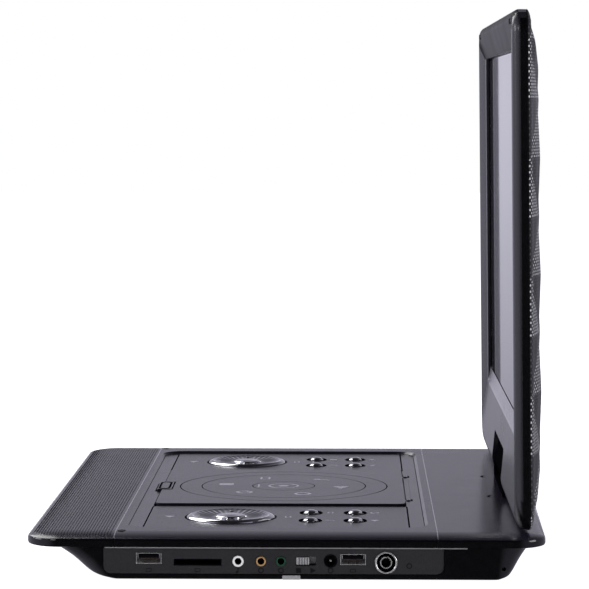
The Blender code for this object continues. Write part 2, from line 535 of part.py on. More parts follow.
def screen_loop(y, inset, z0=None, top_r=0.012, low_r=0.016):
    """One level of the screen housing in the plane at y."""
    half, top = WIDTH / 2 - inset, SCREEN_TOP_Z - inset
    z0 = lip_z(y) + inset if z0 is None else z0
    low_r, top_r = max(low_r - inset, 0.002), max(top_r - inset, 0.002)
    points = []
    for cx, cz, r, start in ((half - low_r, z0 + low_r, low_r, -90), (half - top_r, top - top_r, top_r,
        0),
                             (top_r - half, top - top_r, top_r, 90),
                             (low_r - half, z0 + low_r, low_r, 180)):
        points += [(cx + r * cos(radians(start + 18 * k)), y, cz + r * sin(radians(start + 18 * k)))
                   for k in range(6)]
    return points


def window_loop(y, grow, sill):
    """The picture opening in the plane at y, with its lower side dropped by sill."""
    r = 0.0015
    flat = rounded_rect(-WINDOW_X - grow, WINDOW_X + grow, WINDOW_Z0 - sill - grow, WINDOW_Z1 + grow, r,
                        5)
    return [(x, y, z) for x, z in flat]


def build_screen():
    glass_y = RIDGE_Y + 0.0062
    loops = [screen_loop(BAND_Y1 - GAP, 0.0002), screen_loop(BAND_Y0 + 0.0004, 0),
             screen_loop(BAND_Y0 - 0.0011, 0.0003),
             screen_loop(RIDGE_Y + 0.0004, 0.0012), screen_loop(RIDGE_Y, 0.0024),
             window_loop(RIDGE_Y + 0.0038, 0.0004, SILL_H), window_loop(glass_y - GAP, 0, 0),
             window_loop(glass_y - GAP, 0.0018, 0), window_loop(RIDGE_Y + 0.0044, 0.0022, SILL_H),
             screen_loop(RIDGE_Y + 0.0030, 0.0050, lip_z(BAND_Y0 - 0.0011) + 0.0048),
             screen_loop(BAND_Y0, 0.0030, lip_z(BAND_Y0) + 0.003),
             screen_loop(BAND_Y1 - GAP, 0.0022)]
    bezel = finished("front_bezel", loft_mesh(loops, closed=True), BLACK_GLOSS)

    margin = ((0, 0), (0.0008, 0.0016), (0.0022, 0.0075), (0.0050, 0.0170), (0.0073, 0.0300),
              (0.0085, 0.0450), (0.0090, 0.0700))
    seam = BAND_Y1
    low = lip_z(seam)
    outside = [screen_loop(seam + rise, inset, low + 0.0002 + inset) for rise, inset in margin]
    inside = [screen_loop(seam + max(rise - 0.0019, 0), inset + 0.0022, low + 0.0024 + inset) for rise,
              inset in margin]
    cover = finished("rear_cover", loft_mesh(list(reversed(outside)) + inside, closed=False), BLACK_SATIN)

    notch = slab_mesh([rounded_rect(-NOTCH_X, NOTCH_X, -0.02, NOTCH_Z, 0.003)], RIDGE_Y - 0.02,
                      BAND_Y1 + 0.03, "XZ")
    boolean(bezel, "DIFFERENCE", notch)
    boolean(cover, "DIFFERENCE", notch.copy())

    panel = box_mesh((-WINDOW_X - 0.0030, glass_y, WINDOW_Z0 - 0.0040),
                     (WINDOW_X + 0.0030, glass_y + 0.0020, WINDOW_Z1 + 0.0040), 0.0004, 1)
    panel = finished("display_panel", panel, GLASS)
    board = box_mesh((-0.060, glass_y + 0.0030, 0.110), (0.060, glass_y + 0.0042, 0.190))
    board = finished("display_board", board, GREEN_BOARD)
    return [bezel, cover, panel, board]


build_housing()
build_deck()
build_well()
build_keypads()
build_door()
build_sockets()
build_inside()

tilt_axis = bpy.data.objects.new("tilt_axis", None)
tilt_axis.location = (0, HINGE_Y, HINGE_Z)
tilt_axis.rotation_euler = (LEAN, 0, 0)
PARTS.objects.link(tilt_axis)
build_hinge()
for piece in build_screen():
    for mod in piece.modifiers:
        mod.object.parent = tilt_axis
        mod.object.matrix_parent_inverse = Matrix.Translation((0, -HINGE_Y, -HINGE_Z))
    piece.parent = tilt_axis
    piece.matrix_parent_inverse = Matrix.Translation((0, -HINGE_Y, -HINGE_Z))
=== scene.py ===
"""Looks for the portable disc player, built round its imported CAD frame.

Metres, in the frame's own axes: +X is the user's right, -Y the user's side, +Z up.
"""

import json
from math import copysign, cos, floor, hypot, pi, radians, sin, sqrt

import bmesh
import bpy
from mathutils import Matrix, Vector

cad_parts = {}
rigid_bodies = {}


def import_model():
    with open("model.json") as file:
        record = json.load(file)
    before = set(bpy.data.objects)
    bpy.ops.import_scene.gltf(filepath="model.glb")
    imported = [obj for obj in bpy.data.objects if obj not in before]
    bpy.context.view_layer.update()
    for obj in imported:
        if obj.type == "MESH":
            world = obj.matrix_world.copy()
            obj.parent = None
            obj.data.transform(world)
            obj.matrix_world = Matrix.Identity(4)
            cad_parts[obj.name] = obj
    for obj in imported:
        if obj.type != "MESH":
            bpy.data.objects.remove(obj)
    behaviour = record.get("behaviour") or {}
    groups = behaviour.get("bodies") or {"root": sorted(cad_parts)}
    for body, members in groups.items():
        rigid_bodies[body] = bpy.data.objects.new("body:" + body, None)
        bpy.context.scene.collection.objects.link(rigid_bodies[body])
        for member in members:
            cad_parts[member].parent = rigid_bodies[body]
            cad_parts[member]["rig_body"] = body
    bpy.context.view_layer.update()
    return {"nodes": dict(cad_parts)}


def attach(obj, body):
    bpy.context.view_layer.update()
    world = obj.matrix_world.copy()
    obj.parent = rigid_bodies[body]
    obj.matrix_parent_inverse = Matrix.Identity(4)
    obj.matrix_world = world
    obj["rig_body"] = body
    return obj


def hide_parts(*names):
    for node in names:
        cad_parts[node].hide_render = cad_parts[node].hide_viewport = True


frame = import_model()
NODES = frame["nodes"]
TAU = 2 * pi

# ---- camera, floor and light ----------------------------------------------------------
CAMERA_AT = (1.5694, 0.0352, 0.2456)
CAMERA_YAW, CAMERA_PITCH = radians(1.25), radians(3.997)
LENS = 166.25

camera = bpy.data.objects.new("camera", bpy.data.cameras.new("camera"))
camera.data.lens, camera.data.sensor_width = LENS, 36
camera.data.clip_start, camera.data.clip_end = 0.05, 50
camera.location = CAMERA_AT
aim = Vector((-cos(CAMERA_YAW) * cos(CAMERA_PITCH), -sin(CAMERA_YAW) * cos(CAMERA_PITCH), -sin(CAMERA_PITCH)))
camera.rotation_euler = aim.to_track_quat("-Z", "Y").to_euler()
bpy.context.scene.collection.objects.link(camera)
bpy.context.scene.camera = camera
bpy.context.scene.view_settings.view_transform = "Standard"


def node(tree, kind, inputs=None, **settings):
    """A shader node with its settings, and its inputs set or linked by name."""
    made = tree.nodes.new(kind)
    for key, value in settings.items():
        setattr(made, key, value)
    for key, value in (inputs or {}).items():
        if isinstance(value, bpy.types.NodeSocket):
            tree.links.new(value, made.inputs[key])
        else:
            made.inputs[key].default_value = value
    return made


def ramp(tree, factor, stops):
    made = node(tree, "ShaderNodeValToRGB", {"Fac": factor})
    elements = made.color_ramp.elements
    while len(elements) < len(stops):
        elements.new(0.5)
    for element, (place, value) in zip(elements, stops):
        element.position = place
        element.color = (*value, 1) if isinstance(value, tuple) else (value, value, value, 1)
    return made.outputs["Color"]


def mixed(tree, factor, first, second, **settings):
    """Two colours mixed by a factor."""
    inputs = {0: factor, 6: first, 7: second}
    return node(tree, "ShaderNodeMix", inputs, data_type="RGBA", **settings).outputs[2]


def eased(tree, value, low, high):
    """A smooth step from 0 to 1 as the value goes from low to high."""
    return node(tree, "ShaderNodeMapRange", {"Value": value, "From Min": low, "From Max": high},
                interpolation_type="SMOOTHSTEP").outputs["Result"]


def ranged(tree, value, low, high, start=0.0, end=1.0):
    """The value's way from low to high, carried over to start and end."""
    return node(tree, "ShaderNodeMapRange", {"Value": value, "From Min": low, "From Max": high, "To Min": start,
                                             "To Max": end}).outputs["Result"]


def maths(tree, operation, *values):
    return node(tree, "ShaderNodeMath", dict(enumerate(values)), operation=operation).outputs[0]


# brightness of the studio by height, from straight down (0) to straight up (1)
FAR_SIDE = ((0.0, 0.30), (0.40, 0.35), (0.44, 0.45), (0.456, 0.57), (0.484, 0.77), (0.502, 0.84), (0.52, 0.84),
            (0.555, 0.38), (0.59, 0.42), (0.66, 0.34), (0.74, 0.15), (0.85, 0.04))
NEAR_SIDE = ((0.0, 0.04), (0.49, 0.05), (0.52, 0.04), (0.70, 0.025), (1.0, 0.015))
REAR_TONE, FRONT_TONE, STUDIO_TINT = (0.40, 0.40, 0.42, 1), (0.62, 0.62, 0.65, 1), (0.87, 0.85, 1.0, 1)
# name, place, target, size, power
LIGHTS = (("softbox", (-1.15, -0.95, 1.20), (0, 0, 0), (1.0, 1.3), 15),
          ("front_fill", (0.3, -2.6, 0.9), (0, 0, 0.05), (1.2, 0.8), 12),
          ("side_strip", (1.6, -0.9, 0.9), (0.18, 0, 0.02), (0.5, 0.3), 2.5),
          ("rear_fill", (0.9, 2.4, 0.6), (0, 0.13, 0.15), (1.2, 1.2), 26))


def make_studio():
    """White studio: bright low on the far side, greyer in front and behind, dark on the near side."""
    world = bpy.data.worlds.new("studio")
    bpy.context.scene.world = world
    world.use_nodes = True
    tree = world.node_tree
    tree.nodes.clear()
    place = node(tree, "ShaderNodeTexCoord").outputs["Generated"]
    axes = node(tree, "ShaderNodeSeparateXYZ", {"Vector": place})
    height = ranged(tree, axes.outputs["Z"], -1.0, 1.0)
    far, near = (ramp(tree, height, stops) for stops in (FAR_SIDE, NEAR_SIDE))
    glow = mixed(tree, eased(tree, axes.outputs["X"], -0.2, -0.75), near, far)
    wrap = mixed(tree, eased(tree, axes.outputs["Y"], 0.25, 0.8), glow, REAR_TONE)
    front = mixed(tree, eased(tree, axes.outputs["Y"], -0.3, -0.85), wrap, FRONT_TONE)
    tint = mixed(tree, 1.0, front, STUDIO_TINT, blend_type="MULTIPLY")
    lit = node(tree, "ShaderNodeBackground", {"Color": tint, "Strength": 1.0})
    plain = node(tree, "ShaderNodeBackground", {"Color": (1, 1, 1, 1), "Strength": 1.0})
    seen = node(tree, "ShaderNodeLightPath").outputs["Is Camera Ray"]
    both = node(tree, "ShaderNodeMixShader", {0: seen, 1: lit.outputs[0], 2: plain.outputs[0]})
    node(tree, "ShaderNodeOutputWorld", {"Surface": both.outputs[0]})

    bm = bmesh.new()
    bmesh.ops.create_grid(bm, x_segments=8, y_segments=8, size=6.0)
    mesh = bpy.data.meshes.new("floor")
    bm.to_mesh(mesh)
    bm.free()
    floor_plane = bpy.data.objects.new("floor", mesh)
    floor_plane.visible_glossy = False
    floor_look = bpy.data.materials.new("floor_white")
    floor_look.use_nodes = True
    shader = floor_look.node_tree.nodes["Principled BSDF"]
    shader.inputs["Base Color"].default_value = (0.92, 0.92, 0.92, 1)
    shader.inputs["Roughness"].default_value = 0.9
    shader.inputs["Specular IOR Level"].default_value = 0.0
    shader.inputs["Emission Color"].default_value = (1, 1, 1, 1)
    shader.inputs["Emission Strength"].default_value = 1.0
    mesh.materials.append(floor_look)
    bpy.context.scene.collection.objects.link(floor_plane)

    for name, place, target, size, power in LIGHTS:
        light = bpy.data.objects.new(name, bpy.data.lights.new(name, "AREA"))
        light.data.shape, light.data.energy = "RECTANGLE", power
        light.data.size, light.data.size_y = size
        light.location = place
        light.rotation_euler = (Vector(target) - Vector(place)).to_track_quat("-Z", "Y").to_euler()
        bpy.context.scene.collection.objects.link(light)


make_studio()


# ---- materials ------------------------------------------------------------------------
def finish(name, colour, roughness, metallic=0.0, specular=0.5, grain=2400, bump=0.10, mottle=0.18, spread=0.05,
           stretch=(1, 1, 1), coat=0.0):
    """A moulded, plated or painted surface: fine grain, slow changes in gloss and colour."""
    look = bpy.data.materials.new(name)
    look.use_nodes = True
    tree = look.node_tree
    shader = tree.nodes["Principled BSDF"]
    place = node(tree, "ShaderNodeTexCoord").outputs["Object"]
    drawn = node(tree, "ShaderNodeMapping", {"Vector": place, "Scale": stretch}).outputs["Vector"]
    fine = node(tree, "ShaderNodeTexNoise", {"Vector": drawn, "Scale": grain, "Detail": 3.0})
    slow = node(tree, "ShaderNodeTexNoise", {"Vector": place, "Scale": 38.0, "Detail": 4.0})
    gloss = ranged(tree, slow.outputs["Fac"], 0.3, 0.7, max(roughness - spread, 0.02), roughness + spread)
    dark = tuple(c * (1 - mottle) for c in colour)
    light = tuple(min(c * (1 + mottle), 1) for c in colour)
    coarse = node(tree, "ShaderNodeTexNoise", {"Vector": drawn, "Scale": grain / 3, "Detail": 2.0})
    tone = ramp(tree, coarse.outputs["Fac"], ((0.35, dark), (0.65, light)))
    relief = node(tree, "ShaderNodeBump", {"Height": fine.outputs["Fac"], "Strength": bump,
                                           "Distance": 0.00008})
    tree.links.new(gloss, shader.inputs["Roughness"])
    tree.links.new(tone, shader.inputs["Base Color"])
    tree.links.new(relief.outputs["Normal"], shader.inputs["Normal"])
    shader.inputs["Metallic"].default_value = metallic
    shader.inputs["Specular IOR Level"].default_value = specular
    shader.inputs["Coat Weight"].default_value = coat
    shader.inputs["Coat Roughness"].default_value = 0.05
    return look


SATIN = finish("deck_satin", (0.019, 0.017, 0.027), 0.20, specular=0.55, grain=5200, bump=0.10, spread=0.012)
PLATE = finish("keypad_satin", (0.021, 0.019, 0.029), 0.19, specular=0.60, grain=5200, bump=0.10, spread=0.012)
# Painted sheen: a lighter, shinier copy of the keypad satin, for the lands of the recess that catch the light.
LAND_SHEEN = finish("recess_land_painted_sheen", (0.029, 0.027, 0.038), 0.17, specular=0.85, grain=5200, bump=0.10, spread=0.012)
GLOSS = finish("gloss_black", (0.0022, 0.0022, 0.0026), 0.09, specular=0.45, grain=900, bump=0.015, spread=0.03)
PORT_SATIN = finish("port_satin", (0.024, 0.024, 0.027), 0.42, specular=0.35, grain=6000, bump=0.22)
# Black for the parts that are black. Also painted shade: laid on the floors of grooves, holes and marks, in gaps
# and in the key wells.
BLACK_AND_SHADE = finish("black_and_painted_shade", (0.003, 0.003, 0.004), 0.8, specular=0.0, grain=3000, bump=0.1)
BEZEL = finish("bezel_satin", (0.016, 0.016, 0.019), 0.26, specular=0.70, grain=5200, bump=0.14, spread=0.015)
CHROME = finish("chrome", (0.78, 0.78, 0.80), 0.07, 1.0, grain=1200, bump=0.01, mottle=0.03, spread=0.03)
STEEL = finish("steel_brushed", (0.52, 0.52, 0.54), 0.28, 1.0, grain=900, bump=0.12, mottle=0.08,
               stretch=(0.05, 1, 1))
NICKEL = finish("nickel_shell", (0.86, 0.86, 0.86), 0.22, 0.75, grain=1800, bump=0.06, mottle=0.05)
RUBBER = finish("rubber", (0.012, 0.012, 0.012), 0.78, specular=0.3, grain=2600, bump=0.5)
GREY = finish("grey_plastic", (0.30, 0.30, 0.31), 0.45, specular=0.4, grain=2800, bump=0.15, mottle=0.08)
WHITE = finish("jack_white", (0.78, 0.78, 0.78), 0.35, grain=2800, bump=0.1, mottle=0.04)
TAN = finish("jack_tan", (0.46, 0.27, 0.10), 0.38, grain=2800, bump=0.1, mottle=0.06)
GREEN = finish("jack_green", (0.010, 0.075, 0.035), 0.38, grain=2800, bump=0.1, mottle=0.06)
MARKS = finish("print_silver", (0.78, 0.78, 0.82), 0.25, 0.8, grain=5000, bump=0.08, mottle=0.06)
# Painted shade: a darker copy of the bezel satin with almost no sheen, for the bezel strip above the picture.
TOP_STRIP_SHADE = finish("bezel_top_painted_shade", (0.005, 0.005, 0.006), 0.35, specular=0.025, grain=5200, bump=0.12, spread=0.02)
# Painted highlight: a far lighter, fully specular copy of the bezel satin, for the sill and side slopes that
# catch the top light.
SILL_HIGHLIGHT = finish("chamfer_painted_highlight", (0.16, 0.155, 0.18), 0.20, specular=1.0, grain=5200, bump=0.10, spread=0.015)
DARK_MARKS = finish("print_dark", (0.007, 0.007, 0.008), 0.45, specular=0.2, grain=5000, bump=0.1, mottle=0.08)
GOLD = finish("contact_gold", (0.75, 0.50, 0.20), 0.25, 1.0, grain=1800, bump=0.05, mottle=0.05)
CONE = finish("speaker_paper", (0.030, 0.028, 0.026), 0.85, specular=0.2, grain=1500, bump=0.6, mottle=0.25)


def circuit_board():
    """Green lacquered board with copper tracks and pads under the lacquer."""
    look = finish("circuit_board", (0.012, 0.095, 0.040), 0.32, grain=2200, bump=0.1)
    tree = look.node_tree
    shader = tree.nodes["Principled BSDF"]
    place = node(tree, "ShaderNodeTexCoord").outputs["Object"]
    tones = {"Color1": (0.010, 0.090, 0.036, 1), "Color2": (0.016, 0.120, 0.050, 1),
             "Mortar": (0.10, 0.16, 0.05, 1)}
    cells = node(tree, "ShaderNodeTexBrick", {"Vector": place, "Scale": 260.0, "Mortar Size": 0.10, **tones})
    pads = node(tree, "ShaderNodeTexVoronoi", {"Vector": place, "Scale": 420.0})
    pad = ramp(tree, pads.outputs["Distance"], ((0.10, 1.0), (0.16, 0.0)))
    tree.links.new(mixed(tree, pad, cells.outputs["Color"], (0.55, 0.50, 0.36, 1)), shader.inputs["Base Color"])
    return look


QUILT_PITCH, QUILT_BASE_Z = 0.0610, 0.0353


def quilted():
    """Soft-feel black cover with a close grid of tiny raised dots. Painted light: on the diamond facets that
    face up the dots get bright painted highlights, on the others they stay nearly black.
    """
    look = finish("quilted_black", (0.020, 0.020, 0.022), 0.46, specular=0.22, grain=5200, bump=0.10)
    tree = look.node_tree
    shader = tree.nodes["Principled BSDF"]
    axes = node(tree, "ShaderNodeSeparateXYZ", {"Vector": node(tree, "ShaderNodeTexCoord").outputs["Object"]})

    def wave(socket, pitch):
        return maths(tree, "COSINE", maths(tree, "MULTIPLY", socket, TAU / pitch))

    both = maths(tree, "MULTIPLY", wave(axes.outputs["X"], 0.0036), wave(axes.outputs["Z"], 0.0032))
    dots = ranged(tree, both, 0.30, 0.62)
    bump = node(tree, "ShaderNodeBump", {"Height": dots, "Strength": 1.0, "Distance": 0.00022,
                                         "Normal": shader.inputs["Normal"].links[0].from_socket})

    def slant(sign):
        """The distance to the nearest groove of one diagonal, and the share of the way across its row."""
        along = maths(tree, "MULTIPLY_ADD", axes.outputs["Z"], sign / QUILT_PITCH,
                      -sign * QUILT_BASE_Z / QUILT_PITCH)
        across = maths(tree, "MULTIPLY_ADD", axes.outputs["X"], 1 / QUILT_PITCH, along)
        return maths(tree, "PINGPONG", across, 0.5), maths(tree, "FRACT", across)

    (near_u, share_u), (near_v, share_v) = slant(1), slant(-1)
    # Which diamond facet each point lies on, and whether it faces up: the facets facing up are the painted-lit
    # ones.
    first = maths(tree, "LESS_THAN", near_u, near_v)
    up_u = maths(tree, "GREATER_THAN", share_u, 0.5)
    up_v = maths(tree, "LESS_THAN", share_v, 0.5)
    lit_facets = node(tree, "ShaderNodeMix", {0: first, 2: up_v, 3: up_u}, data_type="FLOAT").outputs[0]
    # Painted highlights on the dots of the lit facets, and painted shade on the dots of the others.
    pale = ramp(tree, dots, ((0.2, (0.009, 0.009, 0.010)), (0.8, (0.46, 0.46, 0.48))))
    deep = ramp(tree, dots, ((0.2, (0.006, 0.006, 0.006)), (0.8, (0.055, 0.055, 0.058))))
    tone = mixed(tree, lit_facets, deep, pale)
    tree.links.new(bump.outputs["Normal"], shader.inputs["Normal"])
    tree.links.new(tone, shader.inputs["Base Color"])
    return look


BOARD, QUILT = circuit_board(), quilted()
WRAP = finish("battery_wrap", (0.020, 0.055, 0.22), 0.26, grain=700, bump=0.35, stretch=(1, 0.12, 1))
GLASS = finish("display_glass", (0.008, 0.008, 0.011), 0.06, grain=700, bump=0.004, spread=0.015, coat=0.6)
PICTURE = finish("display_picture", (0.030, 0.028, 0.038), 0.035, grain=9000, bump=0.004, spread=0.01)


# ---- building helpers -----------------------------------------------------------------
def add(name, mesh, look, body, nodes=(), angle=30):
    """A finished piece that rides on a body and stands for some CAD nodes."""
    mesh.materials.clear()
    for material in look if isinstance(look, (list, tuple)) else (look,):
        mesh.materials.append(material)
    mesh.shade_smooth()
    mesh.set_sharp_from_angle(angle=radians(angle))
    piece = bpy.data.objects.new(name, mesh)
    bpy.context.scene.collection.objects.link(piece)
    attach(piece, body)
    if nodes:
        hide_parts(*nodes)
    even = piece.modifiers.new("even_shading", "WEIGHTED_NORMAL")
    even.keep_sharp, even.weight = True, 90
    return piece


def to_mesh(bm, name="shape"):
    bmesh.ops.recalc_face_normals(bm, faces=bm.faces)
    if bm.calc_volume(signed=True) < 0:
        bmesh.ops.reverse_faces(bm, faces=bm.faces)
    mesh = bpy.data.meshes.new(name)
    bm.to_mesh(mesh)
    bm.free()
    return mesh


def paint(piece, index, chosen):
    """Gives the faces that pass a test another of the piece's materials."""
    for face in piece.data.polygons:
        if chosen(face.center, face):
            face.material_index = index


def passing(name, content):
    """An object that stays in the scene only while its modifiers are worked out."""
    made = bpy.data.objects.new(name, content)
    bpy.context.scene.collection.objects.link(made)
    return made


def worked_out(guide, *tools):
    """The guide's mesh with its modifiers in it; the passing objects are removed."""
    bpy.context.view_layer.update()
    mesh = bpy.data.meshes.new_from_object(guide.evaluated_get(bpy.context.evaluated_depsgraph_get()))
    for done in (*tools, guide):
        bpy.data.objects.remove(done)
    return mesh


def quarter(cx, cy, r, start, steps):
    """A quarter circle from an angle in degrees."""
    return [(cx + r * cos(radians(start + 90 * k / steps)), cy + r * sin(radians(start + 90 * k / steps)))
            for k in range(steps + 1)]


def rounded_rect(x0, x1, y0, y1, r, steps=8):
    corners = ((x1 - r, y0 + r, -90), (x1 - r, y1 - r, 0), (x0 + r, y1 - r, 90), (x0 + r, y0 + r, 180))
    return [point for cx, cy, start in corners for point in quarter(cx, cy, r, start, steps)]


def ring(cx, cy, r, steps=48):
    return [(cx + r * cos(TAU * k / steps), cy + r * sin(TAU * k / steps)) for k in range(steps)]


def slab(outlines, low, high, plane="XY"):
    """Flat outlines with holes, extruded across their plane; filled at a thousand times the size."""
    curve = bpy.data.curves.new("outline", "CURVE")
    curve.dimensions, curve.fill_mode, curve.extrude = "2D", "BOTH", 1000 * (high - low) / 2
    for outline in outlines:
        spline = curve.splines.new("POLY")
        spline.points.add(len(outline) - 1)
        for point, (u, v) in zip(spline.points, outline):
            point.co = (1000 * u, 1000 * v, 0, 1)
        spline.use_cyclic_u = True
    bm = bmesh.new()
    bm.from_mesh(worked_out(passing("outline", curve)))
    bmesh.ops.remove_doubles(bm, verts=bm.verts, dist=0.001)
    middle = (low + high) / 2
    for vert in bm.verts:
        u, v, w = vert.co / 1000
        w += middle
        vert.co = {"XY": (u, v, w), "YZ": (w, u, v), "XZ": (u, w, v)}[plane]
    return to_mesh(bm)


def box(low, high, bevel=0.0, segments=3):
    bm = bmesh.new()
    bmesh.ops.create_cube(bm, size=1)
    for vert in bm.verts:
        vert.co = [(a + b) / 2 + p * (b - a) for a, b, p in zip(low, high, vert.co)]
    if bevel:
        bmesh.ops.bevel(bm, geom=bm.edges[:], offset=bevel, segments=segments, profile=0.5, affect="EDGES")
    return to_mesh(bm)


def turned(profile, centre, axis="Z", steps=48):
    """A (radius, height) section turned about an axis through centre."""
    bm = bmesh.new()
    rows = []
    for r, h in profile:
        if r == 0:
            rows.append([bm.verts.new((0, 0, h))])
        else:
            rows.append([bm.verts.new((r * cos(TAU * k / steps), r * sin(TAU * k / steps), h))
                         for k in range(steps)])
    closed = profile[0][0] != 0
    for a, b in zip(rows, rows[1:] + rows[:1] if closed else rows[1:]):
        for k in range(steps):
            m = (k + 1) % steps
            loop = [a[k % len(a)], a[m % len(a)], b[m % len(b)], b[k % len(b)]]
            unique = list(dict.fromkeys(loop))
            if len(unique) > 2:
                bm.faces.new(unique)
    turn = {"Z": Matrix(), "X": Matrix.Rotation(pi / 2, 4, "Y"), "Y": Matrix.Rotation(-pi / 2, 4, "X")}[axis]
    bm.transform(Matrix.Translation(centre) @ turn)
    return to_mesh(bm)


def loft(loops, closed=False):
    bm = bmesh.new()
    rows = [[bm.verts.new(p) for p in loop] for loop in loops]
    for a, b in zip(rows, rows[1:] + rows[:1] if closed else rows[1:]):
        for k in range(len(a)):
            m = (k + 1) % len(a)
            bm.faces.new((a[k], a[m], b[m], b[k]))
    if not closed:
        bm.faces.new(rows[0])
        bm.faces.new(rows[-1])
    return to_mesh(bm)


def carved(operation, first, *others):
    base = passing("base_shape", first)
    tools = [passing("tool_shape", mesh) for mesh in others]
    for tool in tools:
        mod = base.modifiers.new("carve", "BOOLEAN")
        mod.operation, mod.solver, mod.object = operation, "EXACT", tool
    return worked_out(base, *tools)


def joined(*meshes):
    bm = bmesh.new()
    for mesh in meshes:
        bm.from_mesh(mesh)
    mesh = bpy.data.meshes.new("joined")
    bm.to_mesh(mesh)
    bm.free()
    return mesh


def bevelled(mesh, width, segments=3, angle=28):
    """The mesh with its flat faces merged and its edges rounded."""
    bm = bmesh.new()
    bm.from_mesh(mesh)
    bmesh.ops.remove_doubles(bm, verts=bm.verts, dist=2e-6)
    bmesh.ops.dissolve_limit(bm, angle_limit=radians(1.0), verts=bm.verts, edges=bm.edges)
    clean = bpy.data.meshes.new("clean")
    bm.to_mesh(clean)
    bm.free()
    guide = passing("bevel_shape", clean)
    mod = guide.modifiers.new("edges", "BEVEL")
    mod.width, mod.segments, mod.limit_method, mod.angle_limit = width, segments, "ANGLE", radians(angle)
    mod.use_clamp_overlap = True
    return worked_out(guide)


def refined(name, source, width, look, body=None, segments=3, angle=28, cuts=()):
    """A CAD node's own shape with real, rounded edges, standing for that node."""
    mesh = NODES[source].data.copy()
    if cuts:
        bm = bmesh.new()
        bm.from_mesh(mesh)
        bmesh.ops.remove_doubles(bm, verts=bm.verts, dist=2e-6)
        bm.to_mesh(mesh)
        bm.free()
        mesh = carved("DIFFERENCE", mesh, *cuts)
    mesh = bevelled(mesh, width, segments, angle)
    return add(name, mesh, look, body or NODES[source]["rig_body"], [source])


def outline_loop(z, half, front, rear, front_r, rear_r, steps=12, bow=0.003):
    """One level of the base: straight sides, rounded corners and a bowed rear edge."""
    points = []
    for cx, cy, r, start in ((half - front_r, front + front_r, front_r, -90),
                             (half - rear_r, rear - rear_r, rear_r, 0)):
        points += quarter(cx, cy, r, start, steps)
    points += [((half - rear_r) * (1 - k / 8), rear) for k in range(1, 8)]
    bowed = [(x, y + (bow * (1 - (x / half) ** 2) if y > 0 else 0)) for x, y in points]
    return [(x, y, z) for x, y in bowed + [(0, rear + bow)] + [(-x, y) for x, y in reversed(bowed)]]


def spline_levels(levels, between=4):
    """The given rows with smooth rows between them."""
    rows = []
    for i in range(len(levels) - 1):
        p0, p1, p2, p3 = (levels[max(i - 1, 0)], levels[i], levels[i + 1], levels[min(i + 2, len(levels) - 1)])
        for k in range(between):
            t = k / between
            rows.append(tuple(0.5 * (2 * b + (c - a) * t + (2 * a - 5 * b + 4 * c - d) * t * t
                                     + (3 * b - a - 3 * c + d) * t ** 3) for a, b, c, d in zip(p0, p1, p2, p3)))
    return rows + [levels[-1]]


def triangle_wave(t):
    """1 at whole numbers, 0 half way between them."""
    return abs((t - floor(t)) - 0.5) * 2


def edge_steps(count, fine=0.0125):
    """Even steps from 0 to 1, closer together at both ends."""
    ends = [fine * k / 6 for k in range(6)]
    return ends + [fine + (1 - 2 * fine) * k / count for k in range(count + 1)] + [
        1 - e for e in reversed(ends)]


# ---- base: housing, rim and deck --------------------------------------------------------
HALF_X, HALF_Y = 0.184, 0.1344
RIM_Z, RIM_TOP_Z, DECK_Z, ROLL = 0.018, 0.022, 0.0246, 0.021
SEAM_FRONT, SEAM_REAR, SEAM = -0.0882, 0.0787, 0.0003
FACE_X = 0.1812
PANEL = {"y0": -0.094, "y1": 0.082, "z0": 0.0039, "z1": 0.0174}
WALL, CORNER_R = 0.0022, 0.018


def deck_rise(inset):
    """Height of the deck's skin at a distance in from its outline."""
    share = min(max(inset / ROLL, 0), 1)
    return RIM_TOP_Z + (DECK_Z - RIM_TOP_Z) * (1 - (1 - share) ** 2.6) ** 0.64


def deck_loop(z, inset):
    return outline_loop(z, HALF_X - inset, -HALF_Y + inset, HALF_Y - inset, max(CORNER_R - inset, 0.004),
                        max(0.016 - inset, 0.004))


def make_housing():
    """The boat-shaped shell: each level has its height, half width, front, rear and corner radii."""
    levels = ((0.0010, 0.1790, -0.0908, 0.1111, 0.0050, 0.0030),
              (0.0024, 0.1804, -0.0970, 0.1148, 0.0085, 0.0062),
              (0.0050, 0.1810, -0.1023, 0.1172, 0.0110, 0.0086),
              (0.0117, 0.1812, -0.1110, 0.1214, 0.0150, 0.0128),
              (0.0177, 0.1813, -0.1210, 0.1260, 0.0180, 0.0174))
    rows = spline_levels(levels, 5)
    outer = [outline_loop(*row) for row in rows]
    inner = [outline_loop(max(z, 0.003), half - WALL, front + WALL, rear - WALL, max(fr - WALL, 0.001),
                          max(rr - WALL, 0.001)) for z, half, front, rear, fr, rr in rows if z > 0.0028]
    shell = loft(outer + inner[::-1])
    window = slab([rounded_rect(PANEL["y0"], PANEL["y1"], PANEL["z0"], PANEL["z1"] + 0.01, 0.004)], 0.17, 0.19,
                  "YZ")
    rear_hole = turned([(0, -0.004), (0.0011, -0.004), (0.0011, 0.004), (0, 0.004)],
                       (FACE_X - 0.0015, 0.1128, 0.0068), "X", 20)
    shell = carved("DIFFERENCE", shell, window, rear_hole)
    add("housing_shell", shell, GLOSS, "base", ["lower_housing"], angle=40)
    tab = bevelled(box((FACE_X - 0.004, -0.0014, 0.0011), (FACE_X - 0.0001, 0.0079, 0.0034)), 0.0004)
    add("underside_tab", tab, GREY, "base")


